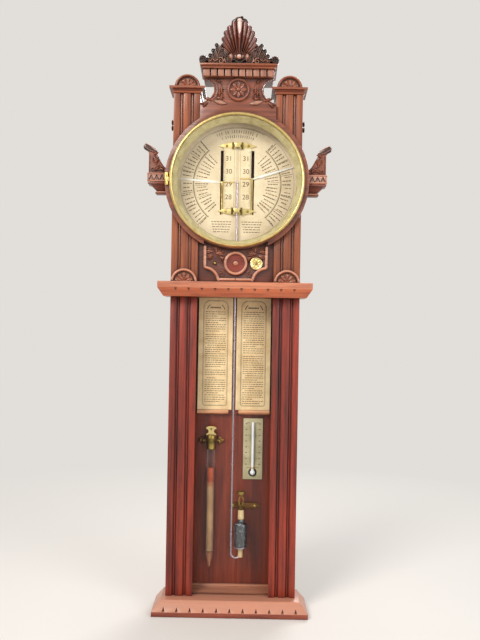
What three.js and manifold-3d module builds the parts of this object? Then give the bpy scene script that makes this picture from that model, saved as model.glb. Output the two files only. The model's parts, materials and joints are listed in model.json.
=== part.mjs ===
// FitzRoy type barometer with a 10 inch register dial in a carved case.
// Millimetres, +Z up. x runs to the right and the front faces -Y.
// A depth is measured forward from the wall face of the backboard.
import * as THREE from 'three';
import { mergeVertices } from 'three/addons/utils/BufferGeometryUtils.js';
import Module from 'manifold-3d';

// Fits
const GAP = 0.3;
const OVERRUN = 5;

// Round sections, in segments
const DIAL_SEGMENTS = 48;
const TURNED_SEGMENTS = 16;
const FINE_SEGMENTS = 10;
const SMALL_SEGMENTS = 6;
const ROUNDEL_SEGMENTS = 24;
const ARC_STEPS = 3;

// Trunk
const TRUNK_HALF = 125;
const TRUNK_LENGTH = 577.9;
const BACKBOARD_T = 10;
const SIDE_T = 10;
const TUBE_DEPTH = 34;
const PANE_SEAT = 48.5;
const PANE_T = 2.3;
const REBATE_W = 7;
const REBATE_FACE = 9;

// Reeded pilasters and posts
const POST_W = 51.5;
const MID_BAND = 13;
const GROOVE_W = 7.6;
const GROOVE_D = 4.5;
const GROOVE_BEAD_R = 1.7;

// Plinth and shelf, with their chip-cut notches
const PLINTH_FASCIA = 9;
const PLINTH_BEVEL = 18;
const PLINTH_RUN = 16;
const PLINTH_FRONT_LIP = 20;
const PLINTH_SIDE_LIP = 7;
const SHELF_BEVEL = 16;
const SHELF_RUN = 10.5;
const SHELF_FASCIA = 12;
const SHELF_SIDE_LIP = 22.2;
const SHELF_FRONT_LIP = 32.9;
const CHIP_PITCH = 25;
const CHIP_W = 6;
const CHIP_H = 7.5;
const FLOOR_T = 3.7;
const FLOOR_BEAD_R = 5;

// Dial head
const APRON_H = 58;
const DRUM_R = 139.5;
const DRUM_LEDGE = 5.5;
const DRUM_LEDGE_D = 20.1;
const DRUM_LEDGE_W = 8;
const SURROUND_BACK = 44;
const FRIEZE_T = 8;
const SURROUND_RING_W = 10.7;
const HEAD_LIP_W = 2.6;
const POST_OVER_DRUM = 29.5;
const HEAD_BOARD_T = 6.3;

// Frieze over the dial
const SHOULDER_OVER_DRUM = 7.5;
const SHOULDER_SLOPE = 14;
const SHOULDER_STEP = 18.5;
const FRIEZE_TO_POST = 8.7;
const FRIEZE_OVER_DRUM = 56.9;
const FRIEZE_SCOOP_R = 20;
const SCOOP_OUTSIDE = 2.2;
const SCOOP_OVER_DRUM = 35.2;
const ROSETTE_R = 22;
const ROSETTE_OVER_DRUM = 33.8;
const ROSETTE_T = 5;
const ROSETTE_PETALS = 8;

// Dentil band and cornice
const DENTIL_LAP = 3;
const DENTIL_COUNT = 10;
const DENTIL_H = 13.5;
const DENTIL_GAP = 2.5;
const DENTIL_CUT = 8;
const DENTIL_FRONT = 80;
const CORNICE_LIP = 6.5;
const CORNICE_H = 8.5;
const CORNICE_COVE = 4;
const CORNICE_FRONT = 88;
const CREST_BOARD_HALF = 50;
const BACKBOARD_SHOULDER = 134;

// Shell crest
const CREST_BACK = 36;
const CREST_T = 20;
const CREST_LIP = 4;
const CREST_RISE = 109;
const SHELL_ROOT_RISE = 29;
const SHELL_HALF = 34;
const SHELL_ROOT_HALF = 11;
const FLUTE_W = 15;
const FLUTE_T = 13;
const SHELL_TIP_H = 34;
const SHELL_TIP_W = 28;
const SHELL_TIP_T = 8;
const LEAF_LENGTH = 42;
const LEAF_W = 17;
const LEAF_T = 11;
const VOLUTE_R = 7.5;
const VOLUTE_RISE = 26;
const SHELL_BEAD_R = 5;

// Post caps and lunettes
const CAP_LIP = 8.45;
const CAP_FRONT = 68.6;
const CAP_H = 11.7;
const LUNETTE_R = 25;
const LUNETTE_T = 22;
const LUNETTE_BACK = 40;
const FOOT_LUNETTE_R = 25.7;
const FOOT_LUNETTE_T = 10.6;
const LUNETTE_RIM = 4.5;
const LUNETTE_SINK = 4;
const LUNETTE_PETALS = 5;

// Wings
const WING_W = 37.7;
const WING_TIP_LIP = 9.8;
const WING_TIP_RISE = 67;
const WING_LAP = 3.5;
const WING_PANEL_BACK = 34;
const WING_PANEL_T = 10;
const WING_LEDGE_BACK = 22;
const WING_LEDGE_FRONT = 54;
const WING_LEDGE_RISE = -24;
const WING_LEDGE_H = 38.5;

// Apron
const APRON_T = 10;
const APRON_MARGIN = 11.9;
const APRON_FIELD_T = 3.5;
const APRON_BORDER_W = 3.5;
const APRON_BORDER_T = 3.5;
const APRON_SCOOP_R = 27;
const APRON_EDGE_LAP = 6.6;
const ROUNDEL_R = 23.3;
const ROUNDEL_T = 5.2;

// Bezel and its hinge
const BEZEL_W = 6.5;
const DIAL_PANE_LAP = 3;
const BEZEL_T = 11.3;
const BEZEL_REBATE = 4.1;
const BEZEL_PANE_T = 2.3;
const HINGE_REACH = 3.5;
const HINGE_R = 2.3;
const HINGE_PIN_R = 0.9;
const HINGE_HALF = 12;
const HINGE_KNUCKLE_HALF = 4;
const HINGE_LEAF_W = 4;
const HINGE_LEAF_T = 1;

// Sight ring
const SIGHT_BACK = 50.5;
const SIGHT_LIP_D = 67;
const SIGHT_LIP_W = 1.4;
const SIGHT_SLOPE_W = 9;

// Dial
const DIAL_BOARD_T = 6;
const PAPER_T = 0.4;
const SLOT_IN = 27.4;
const SLOT_OUT = 33.3;
const SLOT_TOP_RISE = 66;
const PAPER_SLOT_DROP = 61;
const SCALE_HALF = 27;
const SCALE_T = 0.6;
const CLIP_LENGTH = 75;
const CLIP_H = 16;
const CLIP_T = 2.3;
const CLIP_TOP_RISE = 74.6;
const CLIP_DROP = 54;
const CLIP_LAP = 3.5;
const CLIP_JAW_HALF = 5.5;
const CLIP_JAW_H = 8;
const CLIP_WALL = 1.3;

// Hands and their arbor
const ARBOR_R = 2;
const HAND_LAP = 1.5;
const HAND_T = 0.8;
const HAND_HUB_R = 4.5;
const HAND_STEM = 42;
const HAND_STEM_W = 2.4;
const HAND_BLADE_W = 5.4;
const HAND_LEFT_DEG = 4.5;
const HAND_RIGHT_DEG = 17.5;

// Racks, pinions and spindles
const MODULE = 1;
const PINION_TEETH = 16;
const ADDENDUM = 0.9;
const DEDENDUM = 1.25;
const BACKLASH = 0.28;
const PRESSURE_DEG = 20;
const PINION_T = 5;
const PINION_BACK = 21.4;
const SPINDLE_X = 40;
const SPINDLE_RISE = 37.5;
const SPINDLE_R = 2.2;
const SPINDLE_HOLE_R = 3.2;
const SPINDLE_LENGTH = 50.5;
const RACK_BACK = 21.6;
const RACK_T = 4.6;
const RACK_HEAD_DROP = 7.5;
const RACK_FOOT_LAP = 5.5;
const RACK_TOOTHED = 76;
const STUD_R = 1.2;
const STUD_DROP = 11;
const INDEX_T = 0.8;
const INDEX_IN = 4.5;
const INDEX_BAR_HALF = 1.6;
const INDEX_BAR_DROP = 14;
const INDEX_POINT_HALF = 1.5;
const INDEX_ARM_HALF = 0.8;
const INDEX_POINT_LENGTH = 6;
const INDEX_LEFT_RISE = 2.4;
const INDEX_RIGHT_RISE = 10;
const KNOB_R = 12;
const KNOB_T = 3;
const KNOB_HUB_R = 5;
const KNOB_STANDOFF = 3;
const BATTEN_HALF = 52;
const BATTEN_H = 18;
const BATTEN_T = 8.7;

// Siphon tube and bottle cistern
const TUBE_R = 2.75;
const TUBE_BORE_R = 1.6;
const TUBE_TOP_RISE = 81;
const BEND_R = 9.25;
const BEND_Z = 104;
const BOTTLE_R = 13.3;
const BOTTLE_WALL = 1.5;
const BOTTLE_FOOT_Z = 113.5;
const BOTTLE_FOOT_RISE = 4.5;
const BOTTLE_BODY_H = 45;
const BOTTLE_SHOULDER_H = 3.5;
const BOTTLE_NECK_H = 4.5;
const NECK_R = 6.2;
const NECK_BORE_R = 4.7;
const MERCURY_CLEAR = 0.3;
const POOL_RISE = 24;
const COLUMN_RISE = 5;
const STOPPER_R = 5.8;
const STOPPER_PLUG = 4;

// Cistern bracket and cap
const BRACKET_T = 2;
const BRACKET_LEFT = -2;
const BRACKET_RIGHT = 58;
const BRACKET_Z = 192;
const BRACKET_H = 12;
const BRACKET_ARM_H = 5;
const BRACKET_ARM_HALF = 3;
const COLLAR_WALL = 2.2;
const CAP_LOOP_HALF_W = 5.4;
const CAP_LOOP_HALF_H = 10.5;
const CAP_LOOP_WALL = 2.2;
const CAP_STEM_R = 3.6;
const CAP_NECK_R = 2.2;
const CAP_NECK_H = 9;
const CAP_KNOB_R = 8.2;

// Storm glass
const STORM_X = -43;
const STORM_DEPTH = 22;
const STORM_R = 8;
const STORM_WALL = 1.2;
const STORM_FOOT_Z = 102;
const STORM_POINT_Z = 70;
const STORM_TOP_Z = 329;
const STORM_LIQUID_Z = 266;
const STORM_CAP_WALL = 1;
const STORM_CAP_Z = 306;
const STORM_CAP_H = 27;
const STORM_WING_HALF = 26.5;
const STORM_WING_H = 17;
const STORM_WING_RISE = 15;
const FAN_H = 14;
const FAN_HALF = 9;

// Thermometer
const THERMO_X = 40;
const THERMO_W = 38.6;
const THERMO_Z = 245;
const THERMO_H = 121;
const THERMO_T = 2.5;
const THERMO_BULB_RISE = 14;
const THERMO_BULB_R = 4.6;
const THERMO_HOLE_R = 7.5;
const THERMO_TUBE_R = 1.9;
const THERMO_TUBE_TOP = 6.5;

// Card boards and cards
const CARD_IN = 3.7;
const CARD_OUT = 72;
const CARD_Z = 374.6;
const CARD_BOARD_T = 6;
const CARD_BEAD_R = 4.2;
const CARD_MARGIN = 8.4;
const CARD_T = 0.6;

// Levels and depths that follow
const PLINTH_TOP = PLINTH_FASCIA + PLINTH_BEVEL;
const TRUNK_BASE = PLINTH_TOP + GAP;
const TRUNK_TOP = TRUNK_BASE + TRUNK_LENGTH;
const SHELF_BASE = TRUNK_TOP + GAP;
const SHELF_TOP = SHELF_BASE + SHELF_BEVEL + SHELF_FASCIA;
const HEAD_BASE = SHELF_TOP + GAP;
const DIAL_RISE = APRON_H + DRUM_R;
const DIAL_Z = SHELF_TOP + DIAL_RISE;
const DRUM_TOP = DIAL_Z + DRUM_R;
const POST_TOP = DRUM_TOP + POST_OVER_DRUM;
const CASE_BACK = BACKBOARD_T + GAP;
const PANE_FRONT = PANE_SEAT + PANE_T;
const POST_FRONT = PANE_FRONT + GAP + REBATE_FACE;
const FRIEZE_BACK = POST_FRONT + GAP;
const FRIEZE_FRONT = FRIEZE_BACK + FRIEZE_T;
const PLINTH_FRONT = POST_FRONT + PLINTH_FRONT_LIP + PLINTH_RUN;
const BACK_Y = PLINTH_FRONT / 2;
const POST_IN = TRUNK_HALF - POST_W;
const POST_X = TRUNK_HALF - POST_W / 2;
const HEAD_CLEAR_R = DRUM_R + GAP;
const BETWEEN_POSTS = POST_IN - GAP;
const SHELF_HALF = TRUNK_HALF + SHELF_SIDE_LIP;
const FRIEZE_HALF = BETWEEN_POSTS - FRIEZE_TO_POST;
const DENTIL_HALF = FRIEZE_HALF + DENTIL_LAP;
const CORNICE_HALF = DENTIL_HALF + CORNICE_LIP;
const CREST_HALF = CORNICE_HALF + CREST_LIP;
const CAP_HALF = POST_W / 2 + CAP_LIP;
const WING_IN = Math.max(DRUM_R - WING_LAP, TRUNK_HALF + GAP);
const WING_OUT = WING_IN + WING_W;
const WING_TIP = WING_OUT + WING_TIP_LIP;
const APRON_FIELD_HALF = BETWEEN_POSTS - APRON_MARGIN;
const APRON_EDGE_R = DRUM_R - APRON_EDGE_LAP;
const SIGHT_SEAT_R = DRUM_R - SURROUND_RING_W;
const HEAD_LIP_R = SIGHT_SEAT_R - HEAD_LIP_W;
const BEZEL_BORE_R = HEAD_LIP_R - GAP - SIGHT_LIP_W;
const BEZEL_R = BEZEL_BORE_R + BEZEL_W;
const DIAL_PANE_R = BEZEL_BORE_R + DIAL_PANE_LAP;
const SIGHT_BORE_R = BEZEL_BORE_R - SIGHT_SLOPE_W;
const HINGE_X = BEZEL_R + HINGE_REACH;
const HAND_LENGTH = SIGHT_BORE_R + HAND_LAP;
const RACK_IN = SLOT_IN + GAP;
const RACK_FOOT_DROP = DIAL_RISE + RACK_FOOT_LAP;
const RACK_TEETH_DROP = RACK_FOOT_DROP - RACK_TOOTHED;
const DENTIL_BASE = DRUM_TOP + FRIEZE_OVER_DRUM + GAP;
const CORNICE_BASE = DENTIL_BASE + DENTIL_H + GAP;
const CREST_BASE = CORNICE_BASE + CORNICE_H + GAP;
const SPINDLE_Z = HEAD_BASE - GAP + SPINDLE_RISE;
const PINION_R = MODULE * PINION_TEETH / 2;
const RACK_PITCH_X = SPINDLE_X - PINION_R;
const BEZEL_BACK = FRIEZE_FRONT + GAP;
const DIAL_BOARD_BACK = DRUM_LEDGE_D + GAP;
const DIAL_BOARD_FRONT = DIAL_BOARD_BACK + DIAL_BOARD_T;
const PAPER_FRONT = DIAL_BOARD_FRONT + GAP + PAPER_T;
const HAND_LEFT_BACK = PAPER_FRONT + GAP;
const HAND_RIGHT_BACK = HAND_LEFT_BACK + HAND_T + GAP;
const ARBOR_FRONT = HAND_RIGHT_BACK + HAND_T + GAP;
const SCALE_BACK = PAPER_FRONT + GAP + CLIP_T + GAP;
const INDEX_BACK = SCALE_BACK + SCALE_T + GAP;
const BOTTLE_X = BEND_R * 2;

const wasm = await Module();
wasm.setup();

// Merges the vertices of a closed geometry, drops collapsed triangles and turns its faces outward.
function closed(source) {
  const bare = source.clone();
  bare.deleteAttribute('normal');
  bare.deleteAttribute('uv');
  const merged = mergeVertices(bare);
  const position = merged.getAttribute('position');
  const given = merged.getIndex().array;
  const kept = [];
  let volume = 0;
  const a = new THREE.Vector3();
  const b = new THREE.Vector3();
  const c = new THREE.Vector3();
  for (let i = 0; i < given.length; i += 3) {
    const [p, q, r] = [given[i], given[i + 1], given[i + 2]];
    if (p === q || q === r || r === p) continue;
    kept.push(p, q, r);
    a.fromBufferAttribute(position, p);
    b.fromBufferAttribute(position, q);
    c.fromBufferAttribute(position, r);
    volume += a.dot(b.cross(c));
  }
  if (volume < 0) {
    for (let i = 0; i < kept.length; i += 3) {
      const held = kept[i + 1];
      kept[i + 1] = kept[i + 2];
      kept[i + 2] = held;
    }
  }
  merged.setIndex(kept);
  return merged;
}

function solid(geometry) {
  const mesh = closed(geometry);
  return new wasm.Manifold(new wasm.Mesh({
    numProp: 3,
    vertProperties: new Float32Array(mesh.getAttribute('position').array),
    triVerts: new Uint32Array(mesh.getIndex().array),
  }));
}

function geometryOf(manifold) {
  const mesh = manifold.getMesh();
  const geometry = new THREE.BufferGeometry();
  geometry.setAttribute('position', new THREE.BufferAttribute(mesh.vertProperties, 3));
  geometry.setIndex(new THREE.BufferAttribute(mesh.triVerts, 1));
  return geometry;
}

function join(first, ...others) {
  return geometryOf(others.reduce((whole, piece) => whole.add(solid(piece)), solid(first)));
}

function cut(first, ...cutters) {
  return geometryOf(cutters.reduce((whole, piece) => whole.subtract(solid(piece)), solid(first)));
}

function mirrored(geometry) {
  return closed(geometry.clone().scale(-1, 1, 1));
}

// A closed outline through the given [x, z] points.
function outline(points) {
  return new THREE.Shape(points.map(([x, z]) => new THREE.Vector2(x, z)));
}

// A flat plate with its outline in x and z, between two depths.
function plate(shape, back, front, steps = ARC_STEPS) {
  const options = { depth: front - back, bevelEnabled: false, curveSegments: steps };
  return new THREE.ExtrudeGeometry(shape, options).rotateX(Math.PI / 2).translate(0, BACK_Y - back, 0);
}

// An upright solid with its outline in x and depth, between two heights.
function upright(shape, low, high, steps = ARC_STEPS) {
  const options = { depth: high - low, bevelEnabled: false, curveSegments: steps };
  return new THREE.ExtrudeGeometry(shape, options).translate(0, BACK_Y, low);
}

function block(left, right, back, front, low, high) {
  return new THREE.BoxGeometry(right - left, front - back, high - low)
    .translate((left + right) / 2, BACK_Y - (back + front) / 2, (low + high) / 2);
}

// A turned solid on an upright axis, from [radius, z] points that start and end on the axis or close.
function turned(profile, x, depth, segments = TURNED_SEGMENTS) {
  const points = profile.map(([r, z]) => new THREE.Vector2(r, z));
  return closed(new THREE.LatheGeometry(points, segments).rotateX(Math.PI / 2).translate(x,
    BACK_Y - depth, 0));
}

// A turned solid on an axis that points forward, from [radius, depth] points.
function facing(profile, x, z, segments = TURNED_SEGMENTS) {
  const points = profile.map(([r, d]) => new THREE.Vector2(r, d));
  return closed(new THREE.LatheGeometry(points, segments).rotateX(Math.PI).translate(x, BACK_Y, z));
}

function disc(radius, back, front, x, z, segments = TURNED_SEGMENTS) {
  return facing([[0, back], [radius, back], [radius, front], [0, front]], x, z, segments);
}

function rod(radius, low, high, x, depth, segments = FINE_SEGMENTS) {
  return turned([[0, low], [radius, low], [radius, high], [0, high]], x, depth, segments);
}

function closedProfile(points) {
  return [...points, points[0]];
}

// A moulding: rectangles drawn in by an inset at each level, flush at the back and on any side with no inset.
function moulded(levels, left, right, back, front, leftInset = 1, rightInset = 1) {
  const positions = levels.flatMap(([z, inset]) => [
    left + inset * leftInset, BACK_Y - back, z,
    left + inset * leftInset, BACK_Y - front + inset, z,
    right - inset * rightInset, BACK_Y - front + inset, z,
    right - inset * rightInset, BACK_Y - back, z,
  ]);
  const faces = [0, 2, 1, 0, 3, 2];
  for (let level = 0; level < levels.length - 1; level += 1) {
    const low = level * 4;
    for (let side = 0; side < 4; side += 1) {
      const next = (side + 1) % 4;
      faces.push(low + side, low + next, low + 4 + next, low + side, low + 4 + next, low + 4 + side);
    }
  }
  const top = (levels.length - 1) * 4;
  faces.push(top, top + 1, top + 2, top, top + 2, top + 3);
  const geometry = new THREE.BufferGeometry();
  geometry.setAttribute('position', new THREE.BufferAttribute(new Float32Array(positions), 3));
  geometry.setIndex(faces);
  return closed(geometry);
}

const finishes = {
  oak: { color: 0x8a4326, roughness: 0.5, metalness: 0 },
  carved_oak: { color: 0x6f3320, roughness: 0.55, metalness: 0 },
  back_oak: { color: 0x7a3a22, roughness: 0.6, metalness: 0 },
  brass: { color: 0xc9a24a, roughness: 0.3, metalness: 1 },
  gilt: { color: 0xd8b968, roughness: 0.35, metalness: 1 },
  enamel: { color: 0xf2efe6, roughness: 0.4, metalness: 0 },
  paper: { color: 0xe4d5ae, roughness: 0.85, metalness: 0 },
  card: { color: 0xc9a67a, roughness: 0.85, metalness: 0 },
  glass: { color: 0xdfe8e6, roughness: 0.05, metalness: 0, transparent: true, opacity: 0.35 },
  mercury: { color: 0xb9bcc0, roughness: 0.1, metalness: 1 },
  liquid: { color: 0xd9b48c, roughness: 0.2, metalness: 0 },
  cork: { color: 0xd9c193, roughness: 0.8, metalness: 0 },
};

const barometer = new THREE.Group();

function part(name, geometry, finish) {
  const shape = closed(geometry);
  shape.computeVertexNormals();
  const mesh = new THREE.Mesh(shape, new THREE.MeshStandardMaterial(finishes[finish]));
  mesh.name = name;
  barometer.add(mesh);
}

// Adds a right-hand piece and its mirror image on the left.
function pair(name, geometry, finish) {
  part(`${name}_right`, geometry, finish);
  part(`${name}_left`, mirrored(geometry), finish);
}

// Case panels

// A vertical member with two beaded reeds in its front face, its outline in plan.
function reededOutline(left, right, back, rebate = 0) {
  const shape = new THREE.Shape();
  const floor = POST_FRONT - GROOVE_D;
  const middle = (left + right) / 2;
  const firstFloor = middle + MID_BAND / 2;
  shape.moveTo(left + rebate, -back);
  shape.lineTo(right, -back);
  shape.lineTo(right, -POST_FRONT);
  for (const grooveLeft of [firstFloor, middle - MID_BAND / 2 - GROOVE_W]) {
    const bead = grooveLeft + GROOVE_W / 2;
    shape.lineTo(grooveLeft + GROOVE_W, -POST_FRONT);
    shape.lineTo(grooveLeft + GROOVE_W, -floor);
    shape.absarc(bead, -floor, GROOVE_BEAD_R, 0, -Math.PI, true);
    shape.lineTo(grooveLeft, -floor);
    shape.lineTo(grooveLeft, -POST_FRONT);
  }
  shape.lineTo(left, -POST_FRONT);
  if (rebate > 0) {
    shape.lineTo(left, -(PANE_FRONT + GAP));
    shape.lineTo(left + rebate, -(PANE_FRONT + GAP));
  }
  return shape;
}

// Chip-cut notches in a row along a front edge, each a wedge with its point up or down.
function chipCutters(half, edgeZ, pointsUp, slope, front) {
  const count = Math.floor(2 * half / CHIP_PITCH);
  const height = pointsUp ? CHIP_H : -CHIP_H;
  const cutters = [];
  for (let i = 0; i < count; i += 1) {
    const x = (i - (count - 1) / 2) * CHIP_PITCH;
    const notch = outline([[x - CHIP_W / 2, edgeZ], [x + CHIP_W / 2, edgeZ], [x, edgeZ + height]]);
    cutters.push(plate(notch, front - CHIP_H * slope, front + OVERRUN));
  }
  return cutters;
}

const backboard = outline([
  [-TRUNK_HALF, 0],
  [TRUNK_HALF, 0],
  [TRUNK_HALF, DIAL_Z + BACKBOARD_SHOULDER],
  [CREST_BOARD_HALF, DIAL_Z + BACKBOARD_SHOULDER],
  [CREST_BOARD_HALF, CORNICE_BASE - GAP],
  [-CREST_BOARD_HALF, CORNICE_BASE - GAP],
  [-CREST_BOARD_HALF, DIAL_Z + BACKBOARD_SHOULDER],
  [-TRUNK_HALF, DIAL_Z + BACKBOARD_SHOULDER],
]);
part('backboard', plate(backboard, 0, BACKBOARD_T), 'back_oak');

const plinthHalf = TRUNK_HALF + PLINTH_SIDE_LIP + PLINTH_RUN;
const plinthLevels = [[0, 0], [PLINTH_FASCIA, 0], [PLINTH_TOP, PLINTH_RUN]];
part('plinth', cut(
  moulded(plinthLevels, -plinthHalf, plinthHalf, CASE_BACK, PLINTH_FRONT),
  ...chipCutters(plinthHalf - PLINTH_RUN / 2, PLINTH_FASCIA, true, PLINTH_RUN / PLINTH_BEVEL, PLINTH_FRONT),
), 'oak');

const sideFront = PANE_SEAT - GAP;
pair('trunk_side', block(TRUNK_HALF - SIDE_T, TRUNK_HALF, CASE_BACK, sideFront, TRUNK_BASE, TRUNK_TOP),
  'oak');
pair('trunk_pilaster', upright(
  reededOutline(POST_IN, TRUNK_HALF, PANE_SEAT, REBATE_W), TRUNK_BASE, TRUNK_TOP), 'oak');

const floorHalf = TRUNK_HALF - SIDE_T - GAP;
const floorTop = TRUNK_BASE + FLOOR_T;
const floorSection = new THREE.Shape();
floorSection.moveTo(CASE_BACK, TRUNK_BASE);
floorSection.lineTo(sideFront, TRUNK_BASE);
floorSection.lineTo(sideFront, floorTop);
floorSection.lineTo(CASE_BACK + FLOOR_BEAD_R, floorTop);
floorSection.absarc(CASE_BACK, floorTop, FLOOR_BEAD_R, 0, Math.PI / 2, false);
const floorLength = { depth: 2 * floorHalf, bevelEnabled: false, curveSegments: ARC_STEPS };
part('trunk_floor', new THREE.ExtrudeGeometry(floorSection, floorLength)
  .rotateX(Math.PI / 2).rotateZ(-Math.PI / 2).translate(floorHalf, BACK_Y, 0), 'back_oak');

const paneHalf = POST_IN + REBATE_W - GAP;
part('trunk_glass', block(-paneHalf, paneHalf, PANE_SEAT, PANE_FRONT, TRUNK_BASE, TRUNK_TOP), 'glass');

const shelfFront = POST_FRONT + SHELF_FRONT_LIP;
const shelfEdge = SHELF_BASE + SHELF_BEVEL;
const shelfLevels = [[SHELF_BASE, SHELF_RUN], [shelfEdge, 0], [SHELF_TOP, 0]];
const rackSlotBack = RACK_BACK - GAP * 2;
const rackSlotFront = RACK_BACK + RACK_T + GAP * 2;
const tubeHoleR = TUBE_R + GAP * 4;
function rackSlot(side, low, high) {
  const near = SLOT_IN - GAP;
  const far = SLOT_OUT + GAP;
  return block(side > 0 ? near : -far, side > 0 ? far : -near, rackSlotBack, rackSlotFront, low, high);
}
part('shelf', cut(
  moulded(shelfLevels, -SHELF_HALF, SHELF_HALF, CASE_BACK, shelfFront),
  ...chipCutters(SHELF_HALF - SHELF_RUN, shelfEdge, false, SHELF_RUN / SHELF_BEVEL, shelfFront),
  rod(tubeHoleR, SHELF_BASE - OVERRUN, SHELF_TOP + OVERRUN, 0, TUBE_DEPTH),
  rackSlot(1, SHELF_BASE - OVERRUN, SHELF_TOP + OVERRUN),
  rackSlot(-1, SHELF_BASE - OVERRUN, SHELF_TOP + OVERRUN),
), 'oak');

// Head posts, each cut by the round dial drum
const drumCutter = disc(HEAD_CLEAR_R, -OVERRUN, PLINTH_FRONT, 0, DIAL_Z, DIAL_SEGMENTS);
const postOutline = reededOutline(POST_IN, TRUNK_HALF, CASE_BACK);
pair('lower_post', cut(upright(postOutline, HEAD_BASE, DIAL_Z), drumCutter), 'oak');
pair('upper_post', cut(upright(postOutline, DIAL_Z, POST_TOP), drumCutter), 'oak');

// How a petal swells along its length, for a leaf and for a shell flute
const leafRingShares = [[0, 0], [0.25, 0.62], [0.5, 0.94], [0.75, 0.9], [1, 0]];
const fluteRingShares = [[0, 0], [0.12, 0.22], [0.8, 1], [0.94, 0.72], [1, 0]];

// A petal: a turned drop, flattened, that grows from its root at the origin along +Z.
function petal(length, width, thickness, ringShares = leafRingShares) {
  const points = ringShares.map(([along, swell]) => new THREE.Vector2(swell * width / 2, along * length));
  return new THREE.LatheGeometry(points, SMALL_SEGMENTS).rotateX(Math.PI / 2).scale(1, thickness / width, 1);
}

// Petals fanned about a point in the plane of a face.
function fan(petals, x, z, depth) {
  return petals.map(({ length, width, thickness, degrees }) => petal(length, width, thickness)
    .rotateY(THREE.MathUtils.degToRad(degrees))
    .translate(x, BACK_Y - depth, z));
}

// A half-round boss with a raised rim and petals round its hinge.
function lunette(radius, back, front, x, z) {
  const bowl = front - LUNETTE_SINK;
  const whole = facing([
    [0, back],
    [radius, back],
    [radius, front - LUNETTE_SINK / 2],
    [radius - LUNETTE_RIM / 2, front],
    [radius - LUNETTE_RIM, front - LUNETTE_SINK / 2],
    [radius - LUNETTE_RIM, bowl],
    [0, bowl],
  ], x, z, ROUNDEL_SEGMENTS);
  const spread = 180 / LUNETTE_PETALS;
  const lengthShare = 0.72;
  const widthShare = 0.36;
  const petals = Array.from({ length: LUNETTE_PETALS }, (_, i) => ({
    length: radius * lengthShare,
    width: radius * widthShare,
    thickness: LUNETTE_SINK * 2,
    degrees: (i + 0.5) * spread - 90,
  }));
  const carved = join(whole, ...fan(petals, x, z, bowl));
  const below = block(x - 2 * radius, x + 2 * radius, back - OVERRUN, front + OVERRUN, z - 2 * radius, z);
  return cut(carved, below);
}

// Stepped cap over each post, with its lunette
const capLevelShares = [
  [0, 0.19], [0.27, 0.16], [0.32, 0.234], [0.62, 0.175], [0.66, 0], [1, 0],
];
const capBase = POST_TOP + GAP;
const capTop = capBase + CAP_H;
const capLevels = capLevelShares.map(([rise, inset]) => [capBase + rise * CAP_H, inset * CAP_HALF]);
pair('post_cap', join(
  moulded(capLevels, POST_X - CAP_HALF, POST_X + CAP_HALF, 0, CAP_FRONT),
  lunette(LUNETTE_R, LUNETTE_BACK, LUNETTE_BACK + LUNETTE_T, POST_X, capTop - GAP),
), 'oak');
pair('foot_lunette', lunette(
  FOOT_LUNETTE_R, FRIEZE_BACK, FRIEZE_BACK + FOOT_LUNETTE_T, POST_X, HEAD_BASE), 'oak');

// Side wings: a scrolled panel that stands on a moulded ledge, both scribed to the drum
const ledgeBase = DIAL_Z + WING_LEDGE_RISE;
const ledgeTop = ledgeBase + WING_LEDGE_H;
const ledgeWidth = WING_OUT - WING_IN;
const wingRoot = Math.max(WING_IN - OVERRUN, TRUNK_HALF + GAP);
const wingLedgeShares = [
  [0, 0.41], [0.026, 0.36], [0.1, 0.36], [0.13, 0.45], [0.44, 0.13], [0.47, 0], [0.55, 0], [0.57, 0.05],
    [1, 0.05],
];
const wingLedgeLevels = wingLedgeShares.map(([rise, inset]) => [ledgeBase + rise * WING_LEDGE_H,
  inset * ledgeWidth]);
const wingPanelShares = [
  [0.79, 0], [0.79, 0.8], [1, 1], [0.97, 1.046], [0.67, 0.91], [0.58, 0.84], [0.46, 0.67], [0.3, 0.45],
    [0.16, 0.3],
  [0, 0.16],
];
const wingPanelRise = WING_TIP_RISE - WING_LEDGE_RISE - WING_LEDGE_H;
const wingPanel = new THREE.Shape();
wingPanel.moveTo(WING_IN, ledgeTop - GAP);
wingPanelShares.forEach(([across, rise]) => wingPanel.lineTo(
  WING_IN + across * (WING_TIP - WING_IN), ledgeTop - GAP + rise * wingPanelRise));
pair('wing', cut(join(
  moulded(wingLedgeLevels, wingRoot, WING_OUT, WING_LEDGE_BACK, WING_LEDGE_FRONT, 0, 1),
  plate(wingPanel, WING_PANEL_BACK, WING_PANEL_BACK + WING_PANEL_T),
), drumCutter), 'carved_oak');

// Dial head

const drumWall = DRUM_R - DRUM_LEDGE_W;
const drumCutLow = DIAL_Z - DRUM_R - OVERRUN;
const drumCutHigh = DIAL_Z - drumWall + DRUM_LEDGE + DRUM_LEDGE_W;
part('dial_drum', cut(
  facing(closedProfile([
    [drumWall - DRUM_LEDGE, CASE_BACK],
    [DRUM_R, CASE_BACK],
    [DRUM_R, SURROUND_BACK - GAP],
    [drumWall, SURROUND_BACK - GAP],
    [drumWall, DRUM_LEDGE_D],
    [drumWall - DRUM_LEDGE, DRUM_LEDGE_D],
  ]), 0, DIAL_Z, DIAL_SEGMENTS),
  rod(tubeHoleR, drumCutLow, drumCutHigh, 0, TUBE_DEPTH),
  rackSlot(1, drumCutLow, drumCutHigh),
  rackSlot(-1, drumCutLow, drumCutHigh),
), 'oak');

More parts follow.
